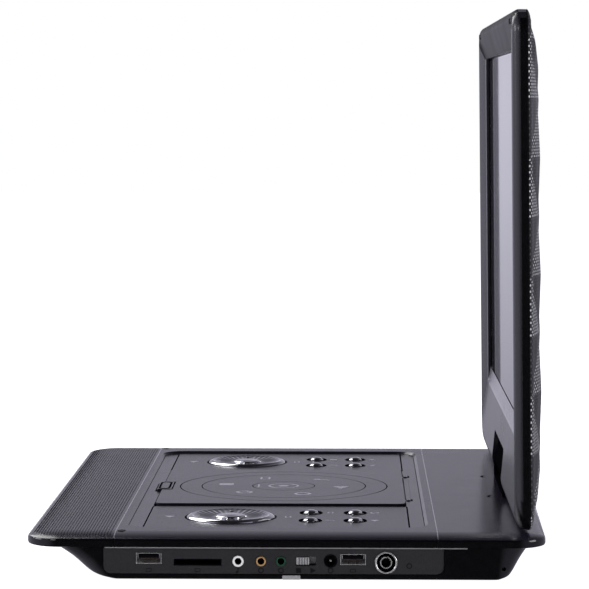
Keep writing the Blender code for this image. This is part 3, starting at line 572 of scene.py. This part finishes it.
def make_deck():
    under = [(RIM_Z, 0.0014), (RIM_Z + 0.0003, 0.0004), (RIM_Z + 0.0010, 0.0)]
    lip = [(RIM_TOP_Z - 0.0008, 0.0), (RIM_TOP_Z - 0.0002, 0.0001)]
    roll = [(deck_rise(i), i)
            for i in (0.0004, 0.0009, 0.0016, 0.0026, 0.004, 0.006, 0.0085, 0.0115, 0.015, ROLL)]
    inside = [(0.0224, 0.0160), (0.0217, 0.0100), (0.0205, 0.0045), (RIM_Z - 0.001, 0.0045)]
    shell = loft([deck_loop(z, i) for z, i in under + lip + roll])
    hollow = loft([deck_loop(z, i) for z, i in inside])
    shell = carved("DIFFERENCE", shell, hollow)
    for label, y0, y1, source in (("front", -0.2, SEAM_FRONT - SEAM / 2, "speaker_grille"),
                                  ("middle", SEAM_FRONT + SEAM / 2, SEAM_REAR - SEAM / 2, "deck_frame"),
                                  ("rear", SEAM_REAR + SEAM / 2, 0.2, "rear_deck")):
        piece = carved("INTERSECT", shell.copy(), box((-0.2, y0, 0), (0.2, y1, 0.05)))
        if label == "front":
            piece = carved("DIFFERENCE", piece, slab([GRILLE_OUTLINE], 0.0221, 0.04))
        elif label == "middle":
            piece = carved("DIFFERENCE", carved("DIFFERENCE", piece, recess()), *bumper_pockets())
        else:
            arcs = [slab([crescent(side * CRESCENT_X, 0.1135)], DECK_Z - 0.0012, DECK_Z + 0.01)
                    for side in (-1, 1)]
            piece = carved("DIFFERENCE", piece, *arcs)
        made = add(f"deck_{label}", bevelled(piece, 0.00018, 2, 50), [SATIN, GLOSS, BLACK_AND_SHADE], "base",
                   [source], angle=35)
        paint(made, 1, lambda at, face: at.z < RIM_TOP_Z + 0.0004)
        if label == "rear":
            # Painted shade: the floor of each crescent mark is painted black.
            paint(made, 2, lambda at, face: abs(abs(at.x) - CRESCENT_X) < 0.006
                  and DECK_Z - 0.0013 < at.z < DECK_Z - 0.0001)


def recess():
    """The hollow for the keypads and the door, with a chamfered edge."""
    levels = ((0.01, 0.0), (0.0233, 0.0), (DECK_Z + 0.00002, 0.0016), (0.03, 0.0016))
    return loft([[(x, y, z) for x, y in
                  rounded_rect(-0.155 - g, 0.155 + g, -0.084 - g, 0.073 + g, 0.012 + g, 12)] for z, g in levels])


def bumper_pockets():
    ovals = [[(side * 0.169 + 0.0031 * cos(TAU * k / 32), -0.0853 + 0.0021 * sin(TAU * k / 32))
              for k in range(32)] for side in (-1, 1)]
    return [slab([oval], 0.0238, 0.03) for oval in ovals]


CRESCENT_X = 0.041


def crescent(cx, cy, r=0.0040, width=0.0016, steps=16):
    """Outline of a small crescent finger mark in the rear deck."""
    outer = [(cx + r * cos(pi * k / steps), cy - r * 0.7 * sin(pi * k / steps)) for k in range(steps + 1)]
    inner = [(cx + (r - width) * cos(pi * k / steps), cy - (r - width) * 0.5 * sin(pi * k / steps))
             for k in range(steps + 1)]
    return outer + inner[::-1]


GRILLE_X, GRILLE_Y, GRILLE_R = 0.1815, (-0.1326, -0.0889), 0.0150
GRILLE_CORNER = [(GRILLE_R * (1 - sin(radians(a))), GRILLE_R * (1 - cos(radians(a)))) for a in range(0, 91, 9)]
GRILLE_OUTLINE = ([(GRILLE_X - u, GRILLE_Y[0] + v) for u, v in GRILLE_CORNER]
                  + [(GRILLE_X, GRILLE_Y[1]), (-GRILLE_X, GRILLE_Y[1])]
                  + [(u - GRILLE_X, GRILLE_Y[0] + v) for u, v in reversed(GRILLE_CORNER)])
HOLE_PITCH, HOLE_R = 0.0015, 0.00048


def deck_height(x, y):
    """Height of the deck over a point, from its distance to the rounded outline."""
    dx, dy = abs(x) - (HALF_X - CORNER_R), abs(y) - (HALF_Y - CORNER_R)
    outside = hypot(max(dx, 0), max(dy, 0)) + min(max(dx, dy), 0) - CORNER_R
    return deck_rise(-outside)


def make_grille():
    """The perforated insert over the speakers: every hole is sunk into its skin, and its floor is painted black
    as painted shade.
    """
    sink, depth = 0.00012, 0.0009
    columns, rows = 243, 31
    bm = bmesh.new()
    x0, y0 = -columns * HOLE_PITCH / 2, GRILLE_Y[0] - 0.0007
    grid = {}

    def corner(i, j):
        if (i, j) not in grid:
            x, y = x0 + i * HOLE_PITCH, y0 + j * HOLE_PITCH
            grid[i, j] = bm.verts.new((x, y, deck_height(x, y) - sink))
        return grid[i, j]

    def inside(x, y):
        flag = False
        for (ax, ay), (bx, by) in zip(GRILLE_OUTLINE, GRILLE_OUTLINE[1:] + GRILLE_OUTLINE[:1]):
            if (ay > y) != (by > y) and x < ax + (y - ay) * (bx - ax) / (by - ay):
                flag = not flag
        return flag

    for i in range(columns):
        for j in range(rows):
            x, y = x0 + (i + 0.5) * HOLE_PITCH, y0 + (j + 0.5) * HOLE_PITCH
            near = [inside(x + a * HOLE_PITCH, y + b * HOLE_PITCH) for a in (-0.5, 0, 0.5)
                    for b in (-0.5, 0, 0.5)]
            if not any(near):
                continue
            quad = [corner(i, j), corner(i + 1, j), corner(i + 1, j + 1), corner(i, j + 1)]
            if not all(near):
                bm.faces.new(quad)
                continue
            z = deck_height(x, y) - sink
            top = [bm.verts.new((x + HOLE_R * cos(TAU * (k + 0.5) / 8),
                                 y + HOLE_R * sin(TAU * (k + 0.5) / 8), z)) for k in range(8)]
            low = [bm.verts.new((v.co.x, v.co.y, z - depth)) for v in top]
            for k in range(8):
                m = (k + 1) % 8
                bm.faces.new((top[k], top[m], low[m], low[k]))
            for side, (a, b) in enumerate(((5, 6), (7, 0), (1, 2), (3, 4))):
                c0, c1 = quad[side], quad[(side + 1) % 4]
                bm.faces.new((c0, c1, top[b], top[a]))
                bm.faces.new((c1, top[(b + 1) % 8], top[b]))
            bm.faces.new(low)
    mesh = bpy.data.meshes.new("grille")
    bm.normal_update()
    bm.to_mesh(mesh)
    bm.free()
    piece = add("grille_skin", mesh, [SATIN, BLACK_AND_SHADE], "base", angle=40)
    # Painted shade: the hole floors are painted black.
    paint(piece, 1, lambda at, face: len(face.vertices) == 8)


def make_bumpers():
    for side, label in ((-1, "left"), (1, "right")):
        refined(f"deck_bumper_{label}", f"bumper_{label}", 0.0002, RUBBER)
    for corner in ("front_left", "front_right", "rear_left", "rear_right"):
        refined(f"rubber_foot_{corner}", f"foot_{corner}", 0.0001, RUBBER)


# ---- base: well, keypads and door -------------------------------------------------------
DOOR_Z, PAD_Z, LAND_Z = 0.0244, 0.0234, 0.0232
DISC_Y, DOOR_Y1 = -0.0053, 0.0641
DPAD_X, DPAD_Y = 0.113, -0.031
GROOVE_DEPTH, PRINT = 0.00045, 0.00004


def groove_ring(radius, width, top, depth):
    low, high = top - depth, top + 0.001
    inner, outer = radius - width / 2, radius + width / 2
    return turned([(inner, low), (outer, low), (outer, high), (inner, high)], (0, DISC_Y, 0), steps=96)


def make_door():
    grooves = [groove_ring(r, w, DOOR_Z, GROOVE_DEPTH)
               for r, w in ((0.0600, 0.0007), (0.0475, 0.0006), (0.0180, 0.0006))]
    door = refined("disc_lid", "disc_door", 0.00025, [PLATE, BLACK_AND_SHADE], cuts=grooves)
    # Painted shade: the floors of the cut rings are painted black.
    paint(door, 1, lambda at, face: abs(at.z - (DOOR_Z - GROOVE_DEPTH)) < 0.00002 and face.normal.z > 0.9)
    tray = refined("disc_tray", "disc_well", 0.0002, [PLATE, LAND_SHEEN])
    # painted sheen: the land tops take the lighter, shinier copy of the satin
    paint(tray, 1, lambda at, face: at.z > LAND_Z - 0.0001)
    y0, y1, z0, z1 = DOOR_Y1 + 0.0008, 0.0678, 0.02292, LAND_Z
    strips = [bevelled(box((a, y0, z0), (b, y1, z1)), 0.00008, 1)
              for a, b in ((-0.0441, 0.0441), (0.0519, 0.0545), (-0.0545, -0.0519))]
    add("lid_hinge_strip", joined(*strips), LAND_SHEEN, "base")
    refined("latch_button", "door_latch", 0.00035, PLATE)
    latch_frame = slab([rounded_rect(-0.0136, 0.0136, -0.0774, -0.0706, 0.0028),
                        rounded_rect(-0.0118, 0.0118, -0.0762, -0.0718, 0.0019)], 0.0246, 0.0246 + PRINT)
    add("latch_outline", latch_frame, BLACK_AND_SHADE, "door_latch")


def prints(name, shapes, z, look, body):
    """Flat generic marks, a hair above the surface they are printed on."""
    add(name, joined(*[slab(shape, z - 0.00001, z + PRINT) for shape in shapes]), look, body)


def moved(outline, dx, dy, turn=0.0, size=1.0):
    c, s = cos(turn), sin(turn)
    return [(dx + size * (x * c - y * s), dy + size * (x * s + y * c)) for x, y in outline]


TRIANGLE = [(-0.45, -0.5), (0.5, 0.0), (-0.45, 0.5)]
BAR = [(-0.12, -0.5), (0.12, -0.5), (0.12, 0.5), (-0.12, 0.5)]
SQUARE = [(-0.42, -0.42), (0.42, -0.42), (0.42, 0.42), (-0.42, 0.42)]


def icon(kind, x, y, size):
    """Outlines of a generic player mark."""
    if kind == "play":
        return [[moved(TRIANGLE, x, y, 0, size)]]
    if kind == "pause":
        return [[moved(BAR, x - 0.25 * size, y, 0, size)], [moved(BAR, x + 0.25 * size, y, 0, size)]]
    if kind == "stop":
        return [[moved(SQUARE, x, y, 0, size)]]
    if kind == "next":
        return [[moved(TRIANGLE, x - 0.15 * size, y, 0, size * 0.8)],
                [moved(BAR, x + 0.42 * size, y, 0, size * 0.8)]]
    if kind == "back":
        return [[moved(TRIANGLE, x + 0.15 * size, y, pi, size * 0.8)],
                [moved(BAR, x - 0.42 * size, y, 0, size * 0.8)]]
    if kind == "ring":
        return [[ring(x, y, size * 0.5, 24), ring(x, y, size * 0.32, 24)]]
    if kind == "note":
        return [[ring(x - 0.2 * size, y - 0.3 * size, size * 0.2, 14)],
                [moved(BAR, x, y + 0.05 * size, 0, size * 0.8)],
                [moved(BAR, x + 0.15 * size, y + 0.4 * size, pi / 2, size * 0.4)]]
    return [[rounded_rect(x - size * 0.5, x + size * 0.5, y - size * 0.3, y + size * 0.3, size * 0.1, 3),
             rounded_rect(x - size * 0.38, x + size * 0.38, y - size * 0.18, y + size * 0.18, size * 0.05, 3)]]


KEY_X, KEY_Y = (0.0975, 0.125), (0.0122, 0.0363)
KEY_HALF_X, KEY_HALF_Y, ARROW_R = 0.0070, 0.0060, 0.0182
KEY_ICONS = {"left": ("pause", "stop", "back", "next"), "right": ("screen", "note", "ring", "play")}


def superellipse(cx, cy, half_x, half_y, steps):
    """Outline of a soft-cornered oval."""
    points = []
    for n in range(steps):
        a = TAU * (n + 0.5) / steps
        c, s = cos(a), sin(a)
        points.append((cx + copysign(half_x * abs(c) ** 0.8, c), cy + copysign(half_y * abs(s) ** 0.8, s)))
    return points


def make_keys():
    for side, label in ((-1, "left"), (1, "right")):
        refined(f"keypad_plate_{label}", f"keypad_{label}", 0.00022, PLATE)
        shapes = []
        for n, (x, y) in enumerate([(side * x, y) for y in KEY_Y for x in KEY_X], 1):
            levels = [(0.0224, 1.0), (0.0234, 1.0), (0.02355, 0.985), (0.0236, 0.95), (0.0230, 0.72)]
            levels += [(0.0230 + 0.0021 * sin(radians(t)), max(0.68 * cos(radians(t)), 0.05))
                       for t in range(0, 91, 6)]
            cap = loft([[(px, py, z) for px, py in superellipse(x, y, KEY_HALF_X * k, KEY_HALF_Y * k, 40)]
                        for z, k in levels])
            key = f"key_{label}_{n}"
            made = add(f"key_cap_{label}_{n}", cap, [CHROME, BLACK_AND_SHADE], key, [key], angle=40)
            # Painted shade: the cap's rim and the well round its chrome dome are painted black.
            paint(made, 1, lambda at, face: hypot((at.x - x) / KEY_HALF_X, (at.y - y) / KEY_HALF_Y) > 0.70)
            shapes += icon(KEY_ICONS[label][n - 1], x, y + 0.0105, 0.0052)
        shapes += (icon("play", side * DPAD_X, DPAD_Y - 0.0330, 0.0060)
                   + icon("screen", side * DPAD_X, DPAD_Y + 0.0310, 0.0056))
        prints(f"keypad_marks_{label}", shapes, PAD_Z, MARKS, "base")
        make_dpad(side, label)


def make_dpad(side, label):
    """A chromed dish with shallow radial facets, four arrows and a button at its centre."""
    x, steps, facets = side * DPAD_X, 144, 36
    rows = [(0.0084, 0.0225), (0.0084, 0.0230), (0.0088, 0.02335), (0.0110, 0.02342), (0.0140, 0.02368),
            (0.0170, 0.02408), (0.0195, 0.02452), (0.0205, 0.02475), (0.0210, 0.02488), (0.0214, 0.02490),
            (0.0219, 0.02478), (0.0226, 0.02445),
            (0.0232, 0.02410), (0.0236, 0.02375), (0.02375, 0.02345), (0.02375, 0.0227)]
    loops = []
    for r, z in rows:
        facet = 0.00022 if 0.0100 < r < 0.0200 else 0.0
        loops.append([(x + r * cos(TAU * k / steps), DPAD_Y + r * sin(TAU * k / steps),
                       z - facet * triangle_wave(k * facets / steps)) for k in range(steps)])
    pad = f"dpad_{label}"
    add(f"dpad_dish_{label}", loft(loops, closed=True), CHROME, pad, [pad], angle=12)
    arrows = [[moved(TRIANGLE, x + ARROW_R * cos(a), DPAD_Y + ARROW_R * sin(a), a, 0.0032)]
              for a in (0, pi / 2, pi, 3 * pi / 2)]
    add(f"dpad_arrows_{label}", joined(*[slab(s, 0.02410, 0.02430) for s in arrows]), STEEL, pad)
    button = [(0, 0.0223), (0.0080, 0.0223), (0.0080, 0.0239), (0.0078, 0.0242), (0.0074, 0.02445),
              (0.0066, 0.02462), (0.0058, 0.02462), (0.0052, 0.02450), (0.0044, 0.02468), (0.0030, 0.02488),
              (0.0014, 0.02498), (0, 0.0250)]
    add(f"ok_button_{label}", turned(button, (x, DPAD_Y, 0)), CHROME, f"ok_{label}", [f"ok_{label}"],
        angle=40)


def make_door_marks():
    shapes = []
    for k, kind in enumerate(("ring", "play", "note", "screen", "stop", "ring")):
        a = TAU * k / 6 + 0.35
        shapes += icon(kind, 0.034 * cos(a), DISC_Y + 0.034 * sin(a), 0.0098)
    shapes += [[ring(0, DISC_Y, 0.0090, 32), ring(0, DISC_Y, 0.0078, 32)], [ring(0, DISC_Y, 0.0030, 20)]]
    shapes += [[rounded_rect(-0.006, 0.006, DISC_Y - 0.0150, DISC_Y - 0.0140, 0.0004, 2)]]
    prints("disc_lid_marks", shapes, DOOR_Z, MARKS, "disc_door")


def make_gap_lines():
    """Painted shade: dark strips laid in the gaps beside the door and the keypad plates. Painted highlights:
    silver beads along both deck seams.
    """
    lines = [(-0.0704, 0.0704, -0.0759, -0.0751)]
    for side in (-1, 1):
        x0, x1 = sorted((side * 0.0738, side * 0.1526))
        lines += [(x0, x1, -0.0761, -0.0754), (x0, x1, 0.0645, 0.0652)]
        lines.append((*sorted((side * 0.1521, side * 0.1529)), -0.0761, 0.0652))
    shapes = [box((x0, y0, LAND_Z - 0.0002), (x1, y1, LAND_Z + 0.00005)) for x0, x1, y0, y1 in lines]
    # painted shade: flat black strips laid in the gaps
    add("plate_gap_painted_shade", joined(*shapes), BLACK_AND_SHADE, "base")
    for label, y in (("front", SEAM_FRONT), ("rear", SEAM_REAR)):
        rows, half = [], 0.00036
        for k in range(121):
            x = (HALF_X - 0.0022) * sin(radians(-90 + 1.5 * k))
            top, low = deck_height(x, y) + 0.00010, deck_height(x, y) - 0.0006
            rows.append([(x, y - half, low), (x, y - half * 0.6, top), (x, y + half * 0.6, top),
                         (x, y + half, low)])
        # painted highlight: a silver bead along the seam
        add(f"seam_painted_highlight_{label}", loft(rows), MARKS, "base")


make_housing()
make_deck()
make_gap_lines()
make_grille()
make_bumpers()
make_door()
make_keys()
make_door_marks()


# ---- base: the socket side ----------------------------------------------------------------
USB_PLACES = {"front": (-0.0703, 0.0121), "rear": (0.0351, 0.0118)}
CARD_Y, JACK_Z = -0.0451, 0.0107
JACKS = {"headphone": (-0.0242, WHITE, "jack_white"), "av_out": (-0.0124, TAN, "jack_tan"),
         "av_in": (-0.0021, GREEN, "jack_green")}
POWER_PLACE, ANTENNA_PLACE = (0.0235, 0.0110), (0.0521, 0.0102)


def make_usb_socket(name, y, z):
    refined(f"{name}_shell", name, 0.00008, NICKEL, segments=2)
    tongue = box((FACE_X - 0.0120, y - 0.0053, z), (FACE_X - 0.0011, y + 0.0053, z + 0.0020), 0.0001, 1)
    add(f"{name}_tongue", tongue, BLACK_AND_SHADE, "base")
    pins = [box((FACE_X - 0.0110, y + dy - 0.0005, z - 0.0002), (FACE_X - 0.00115, y + dy + 0.0005, z + 0.0001),
                0.00005, 1) for dy in (-0.0035, -0.0012, 0.0012, 0.0035)]
    add(f"{name}_contacts", joined(*pins), GOLD, "base")


def make_antenna_socket():
    """A nickel-rimmed coaxial socket: outer sleeve, dark well and a centre tube."""
    section = [(0, -0.0120), (0.0062, -0.0120), (0.0062, -0.0021), (0.0057, -0.0021), (0.0057, 0.0004),
               (0.0055, 0.0006),
               (0.0051, 0.0006), (0.0049, 0.0004), (0.0048, -0.0080), (0.0031, -0.0080), (0.0031, 0.0001),
               (0.0030, 0.0002), (0.0027, 0.0002), (0.0025, -0.0001), (0.0020, -0.0060), (0, -0.0060)]
    made = add("antenna_socket", turned(section, (FACE_X, *ANTENNA_PLACE), "X", 48), [DARK_MARKS, NICKEL],
               "base", ["antenna_jack"], angle=35)

    def bright(at, face):
        r = hypot(at.y - ANTENNA_PLACE[0], at.z - ANTENNA_PLACE[1])
        tube = 0.0022 < r < 0.0034 and at.x > FACE_X - 0.001
        return tube or 0.00495 < r < 0.0056 and at.x > FACE_X + 0.0003

    paint(made, 1, bright)


def make_ports():
    # Painted highlight: a thin pale grey strip under the rim, standing for the light line along the port panel's
    # top.
    lip = bevelled(box((FACE_X - 0.0010, PANEL["y0"] + 0.001, 0.01742),
                       (FACE_X + 0.0004, PANEL["y1"] + 0.012, 0.01782)), 0.00012, 1)
    add("fascia_highlight_strip", lip, GREY, "base")
    refined("port_fascia", "port_panel", 0.0002, PORT_SATIN)
    for label, place in USB_PLACES.items():
        make_usb_socket(f"usb_socket_{label}", *place)
    refined("card_slot_mouth", "card_slot", 0.0001, BLACK_AND_SHADE, segments=2)
    for name, (y, look, slot) in JACKS.items():
        refined(f"{name}_ring", f"{name}_jack", 0.00025, look)
    for name, (y, _, _) in JACKS.items():
        sleeve = turned([(0.0014, -0.0095), (0.00175, -0.0095), (0.00175, -0.0006), (0.0014, -0.0006)],
                        (FACE_X, y, JACK_Z), "X", 32)
        add(f"{name}_sleeve", sleeve, BLACK_AND_SHADE, "base")
    refined("power_inlet", "power_jack", 0.00012, GLOSS, segments=2)
    pin = turned([(0, -0.0088), (0.00072, -0.0088), (0.00072, -0.0014), (0.0005, -0.0009), (0, -0.0008)],
                 (FACE_X, *POWER_PLACE), "X", 24)
    add("power_inlet_pin", pin, NICKEL, "base")
    make_antenna_socket()
    refined("power_knob", "power_switch_knob", 0.00012, GREY, segments=2)
    refined("switch_case", "power_switch_body", 0.0003, STEEL)
    end = bevelled(box((FACE_X - 0.00486, 0.0128, 0.0089), (FACE_X - 0.00466, 0.0158, 0.0128)), 0.00004)
    add("switch_end", end, GREY, "base")
    jack_marks = zip(("note", "ring", "ring"), (y for y, _, _ in JACKS.values()))
    marks = []
    for kind, y in (("screen", USB_PLACES["front"][0]), ("screen", CARD_Y), *jack_marks, ("stop", 0.0070),
                    ("play", 0.0145), ("ring", POWER_PLACE[0]), ("screen", USB_PLACES["rear"][0])):
        marks += icon(kind, y, 0.0060, 0.0030)
    marks += icon("ring", 0.0640, 0.0085, 0.0030)
    add("port_marks", joined(*[slab(shape, FACE_X - 0.00001, FACE_X + PRINT, "YZ") for shape in marks]),
        DARK_MARKS, "base")


# ---- hinge and screen ----------------------------------------------------------------------
HINGE = Vector((0, 0.127, 0.0362))
LEAN = Matrix.Translation(HINGE) @ Matrix.Rotation(radians(0.7), 4, "X") @ Matrix.Translation(-HINGE)
LIP_R, RIDGE_Y, BAND_Y = 0.0109, 0.118, 0.1264
TOP_Z, TOP_R, LOW_R = 0.2943, 0.012, 0.016
WINDOW = {"x": 0.1675, "z0": 0.0777, "z1": 0.2743, "sill": 0.008}
GLASS_Y = RIDGE_Y + 0.0062


def leaned(mesh):
    mesh.transform(LEAN)
    return mesh


def lip_z(y):
    return HINGE.z - sqrt(max(LIP_R ** 2 - (y - HINGE.y) ** 2, 0))


def screen_loop(y, inset, low=None, steps=12):
    half, top = HALF_X - inset, TOP_Z - inset
    low = lip_z(y) + inset if low is None else low
    low_r, top_r = max(LOW_R - inset, 0.002), max(TOP_R - inset, 0.002)
    corners = ((half - low_r, low + low_r, low_r, -90), (half - top_r, top - top_r, top_r, 0),
               (top_r - half, top - top_r, top_r, 90), (low_r - half, low + low_r, low_r, 180))
    return [(x, y, z) for corner in corners for x, z in quarter(*corner, steps)]


def window_loop(y, grow, sill, steps=12):
    flat = rounded_rect(-WINDOW["x"] - grow, WINDOW["x"] + grow, WINDOW["z0"] - sill - grow,
                        WINDOW["z1"] + grow, 0.0015, steps)
    return [(x, y, z) for x, z in flat]


def hinge_notch():
    """What is cut from the screen's lower edge to clear the hinge."""
    return slab([rounded_rect(-0.0478, 0.0478, -0.02, 0.052, 0.003)], RIDGE_Y - 0.02, BAND_Y + 0.03, "XZ")


def make_bezel():
    """The frame round the picture: a ring of loops from the seam over the ridge to the glass and back."""
    front = [(BAND_Y - 0.0003, 0.0003), (BAND_Y - 0.0006, 0.0001), (0.1224, 0.0), (0.1217, 0.0001),
             (0.1209, 0.0004), (0.1201, 0.0009),
             (0.1194, 0.0016), (0.1188, 0.0025), (0.1184, 0.0035), (0.1181, 0.0047), (0.1180, 0.0060)]
    loops = [screen_loop(y, i) for y, i in front]
    loops += [window_loop(RIDGE_Y + 0.0036, 0.0010, WINDOW["sill"]),
              window_loop(RIDGE_Y + 0.0039, 0.0003, WINDOW["sill"]),
              window_loop(RIDGE_Y + 0.0043, 0.0, WINDOW["sill"] * 0.93), window_loop(GLASS_Y - 0.0003, 0, 0),
              window_loop(GLASS_Y - 0.0003, 0.0018, 0),
              window_loop(RIDGE_Y + 0.0050, 0.0026, WINDOW["sill"])]
    loops += [screen_loop(RIDGE_Y + 0.0036, 0.0070, lip_z(0.1194) + 0.0068),
              screen_loop(0.1205, 0.0030, lip_z(0.1205) + 0.003),
              screen_loop(BAND_Y - 0.0003, 0.0022)]
    shell = bevelled(carved("DIFFERENCE", loft(loops, closed=True), hinge_notch()), 0.0003, 2, 60)
    bezel = add("bezel_shell", leaned(shell), [BEZEL, GLOSS, SILL_HIGHLIGHT, TOP_STRIP_SHADE], "screen",
                ["front_bezel"], angle=38)
    paint(bezel, 1, lambda at, face: at.y > RIDGE_Y + (0.0030 if abs(at.x) > 0.1790 else 0.0041))
    # painted shade: the bezel strip above the picture takes the darker copy with almost no sheen
    paint(bezel, 3, lambda at, face: at.y < RIDGE_Y + 0.0041 and at.z > WINDOW["z1"] + 0.0004
          and abs(at.x) < 0.178)

    def slope(at, face):
        """The sill, and the sloping strips down both sides of the picture, which take the painted highlight."""
        inner = at.y > RIDGE_Y + 0.0003 and abs(at.x) < 0.1785 and at.z > WINDOW["z0"] - 0.0092
        beside = at.y < RIDGE_Y + 0.0037 and abs(at.x) > WINDOW["x"] + 0.0005
        return inner and (at.z < WINDOW["z0"] - 0.0003 or beside)

    paint(bezel, 2, slope)
    catch = box((-0.0070, BAND_Y - 0.0046, TOP_Z - 0.0007), (0.0070, BAND_Y - 0.0022, TOP_Z + 0.0003),
                0.0003, 2)
    add("screen_catch", leaned(catch), NICKEL, "screen")
    pads = [box((x - 0.0035, RIDGE_Y - 0.0004, TOP_Z - 0.0075), (x + 0.0035, RIDGE_Y + 0.0006, TOP_Z - 0.0045),
                0.0003, 2) for x in (-0.165, 0.165)]
    add("screen_pads", leaned(joined(*pads)), RUBBER, "screen")


def make_display():
    x, z0, z1 = WINDOW["x"] + 0.0030, WINDOW["z0"] - 0.0040, WINDOW["z1"] + 0.0040
    glass = bevelled(box((-x, GLASS_Y, z0), (x, GLASS_Y + 0.0020, z1)), 0.0003)
    add("display_glass", leaned(glass), GLASS, "screen", ["display_panel"])
    margin = 0.0011
    picture = rounded_rect(margin - WINDOW["x"], WINDOW["x"] - margin, WINDOW["z0"] + margin,
                           WINDOW["z1"] - margin, 0.0004, 2)
    area = slab([picture], GLASS_Y - 0.00006, GLASS_Y + 0.0001, "XZ")
    add("display_picture_area", leaned(area), PICTURE, "screen")


def quilt(x, z):
    """Depth of the quilted relief: rows of flat-sided diamonds."""
    z -= QUILT_BASE_Z
    u, v = (x + z) / QUILT_PITCH, (x - z) / QUILT_PITCH
    return min(1 - triangle_wave(u), 1 - triangle_wave(v))


# distance behind the seam, against the distance in from the outline
COVER_EDGE = ((0, 0.0), (0.0006, 0.0006), (0.0013, 0.0022), (0.0028, 0.0075), (0.0055, 0.0170),
              (0.0077, 0.0300),
              (0.0088, 0.0450), (0.0092, 0.0700))
COVER_LOW = lip_z(BAND_Y) + 0.0002
COVER_MIDDLE, COVER_HEIGHT = (TOP_Z + COVER_LOW) / 2, TOP_Z - COVER_LOW
COVER_STEP, RELIEF = 0.0026, 0.0013


def cover_inset(x, z):
    """How far a point lies in from the rounded outline of the cover."""
    r = TOP_R if z > COVER_MIDDLE else LOW_R
    dx, dz = abs(x) - (HALF_X - r), abs(z - COVER_MIDDLE) - (COVER_HEIGHT / 2 - r)
    return r - (hypot(max(dx, 0), max(dz, 0)) + min(max(dx, dz), 0))


def cover_rise(inset):
    for (ya, a), (yb, b) in zip(COVER_EDGE, COVER_EDGE[1:]):
        if inset <= b:
            return ya + (yb - ya) * (inset - a) / (b - a)
    return COVER_EDGE[-1][0]


def cover_place(u, v):
    """A point of a square sheet, its corners bent to the rounded outline."""
    x, z = HALF_X * (2 * u - 1), COVER_LOW + COVER_HEIGHT * v
    r = TOP_R if v > 0.5 else LOW_R
    cx, cz = copysign(HALF_X - r, x), (TOP_Z - r if v > 0.5 else COVER_LOW + r)
    a, b = (x - cx) / r, (z - cz) / r
    if a * copysign(1, x) > 0 and b * (1 if v > 0.5 else -1) > 0:
        x, z = cx + r * a * sqrt(max(1 - b * b / 2, 0)), cz + r * b * sqrt(max(1 - a * a / 2, 0))
    return x, z


def make_rear_cover():
    """The bowed rear shell with its diamond relief, pressed from one closed sheet."""
    bm = bmesh.new()
    grid = []
    for v in edge_steps(round(COVER_HEIGHT / COVER_STEP)):
        line = []
        for u in edge_steps(round(2 * HALF_X / COVER_STEP)):
            x, z = cover_place(u, v)
            inset = max(cover_inset(x, z), 0)
            fade = min(max((inset - 0.0045) / 0.004, 0), 1)
            line.append(bm.verts.new((x, BAND_Y + cover_rise(inset) - RELIEF * fade * (1 - quilt(x, z)), z)))
        grid.append(line)
    for a, b in zip(grid, grid[1:]):
        for k in range(len(a) - 1):
            bm.faces.new((a[k], b[k], b[k + 1], a[k + 1]))
    mesh = bpy.data.meshes.new("quilt")
    bm.normal_update()
    bm.to_mesh(mesh)
    bm.free()
    guide = passing("quilt", mesh)
    thick = guide.modifiers.new("thickness", "SOLIDIFY")
    thick.thickness, thick.offset = 0.0016, -1
    shell = worked_out(guide)
    bm = bmesh.new()
    bm.from_mesh(shell)
    for vert in bm.verts:
        vert.co.y = max(vert.co.y, BAND_Y)
    bmesh.ops.recalc_face_normals(bm, faces=bm.faces)
    bm.to_mesh(shell)
    bm.free()
    shell = carved("DIFFERENCE", shell, hinge_notch())
    add("quilted_cover", leaned(shell), QUILT, "screen", ["rear_cover"], angle=14)


def make_hinge():
    refined("hinge_cradle", "hinge_base", 0.0004, BLACK_AND_SHADE)
    refined("hinge_knuckle", "hinge_barrel", 0.0004, BLACK_AND_SHADE)
    refined("tilt_rod", "tilt_pin", 0.0004, STEEL)
    refined("swivel_stud", "swivel_post", 0.0004, STEEL)
    refined("swivel_clamp", "swivel_bracket", 0.0002, STEEL)
    refined("lid_pin", "door_pin", 0.0002, STEEL)


def make_inside():
    """What the covers hide; each piece is named with its node, edge radius, look and slot."""
    for name, source, width, look, slot in (
            ("mother_board", "main_board", 0.0001, BOARD, "circuit_board"),
            ("screen_board", "display_board", 0.0001, BOARD, "circuit_board"),
            ("battery", "battery_pack", 0.0012, WRAP, "battery"),
            ("loader_frame", "drive_chassis", 0.0002, STEEL, "steel"),
            ("rail_left", "sled_rail_left", 0.0003, NICKEL, "steel"),
            ("rail_right", "sled_rail_right", 0.0003, NICKEL, "steel"),
            ("lead_screw", "sled_screw", 0.0002, NICKEL, "steel"),
            ("sled_drive", "sled_motor", 0.0004, NICKEL, "steel"),
            ("laser_carriage", "laser_sled", 0.0002, DARK_MARKS, "satin_black"),
            ("spindle_drive", "spindle_motor", 0.0003, NICKEL, "steel"),
            ("disc_hub", "turntable", 0.0002, PLATE, "satin_black"),
            ("driver_left", "speaker_left", 0.0002, CONE, "steel"),
            ("driver_right", "speaker_right", 0.0002, CONE, "steel")):
        refined(name, source, width, look, segments=2)


make_ports()
make_hinge()
make_bezel()
make_display()
make_rear_cover()
make_inside()
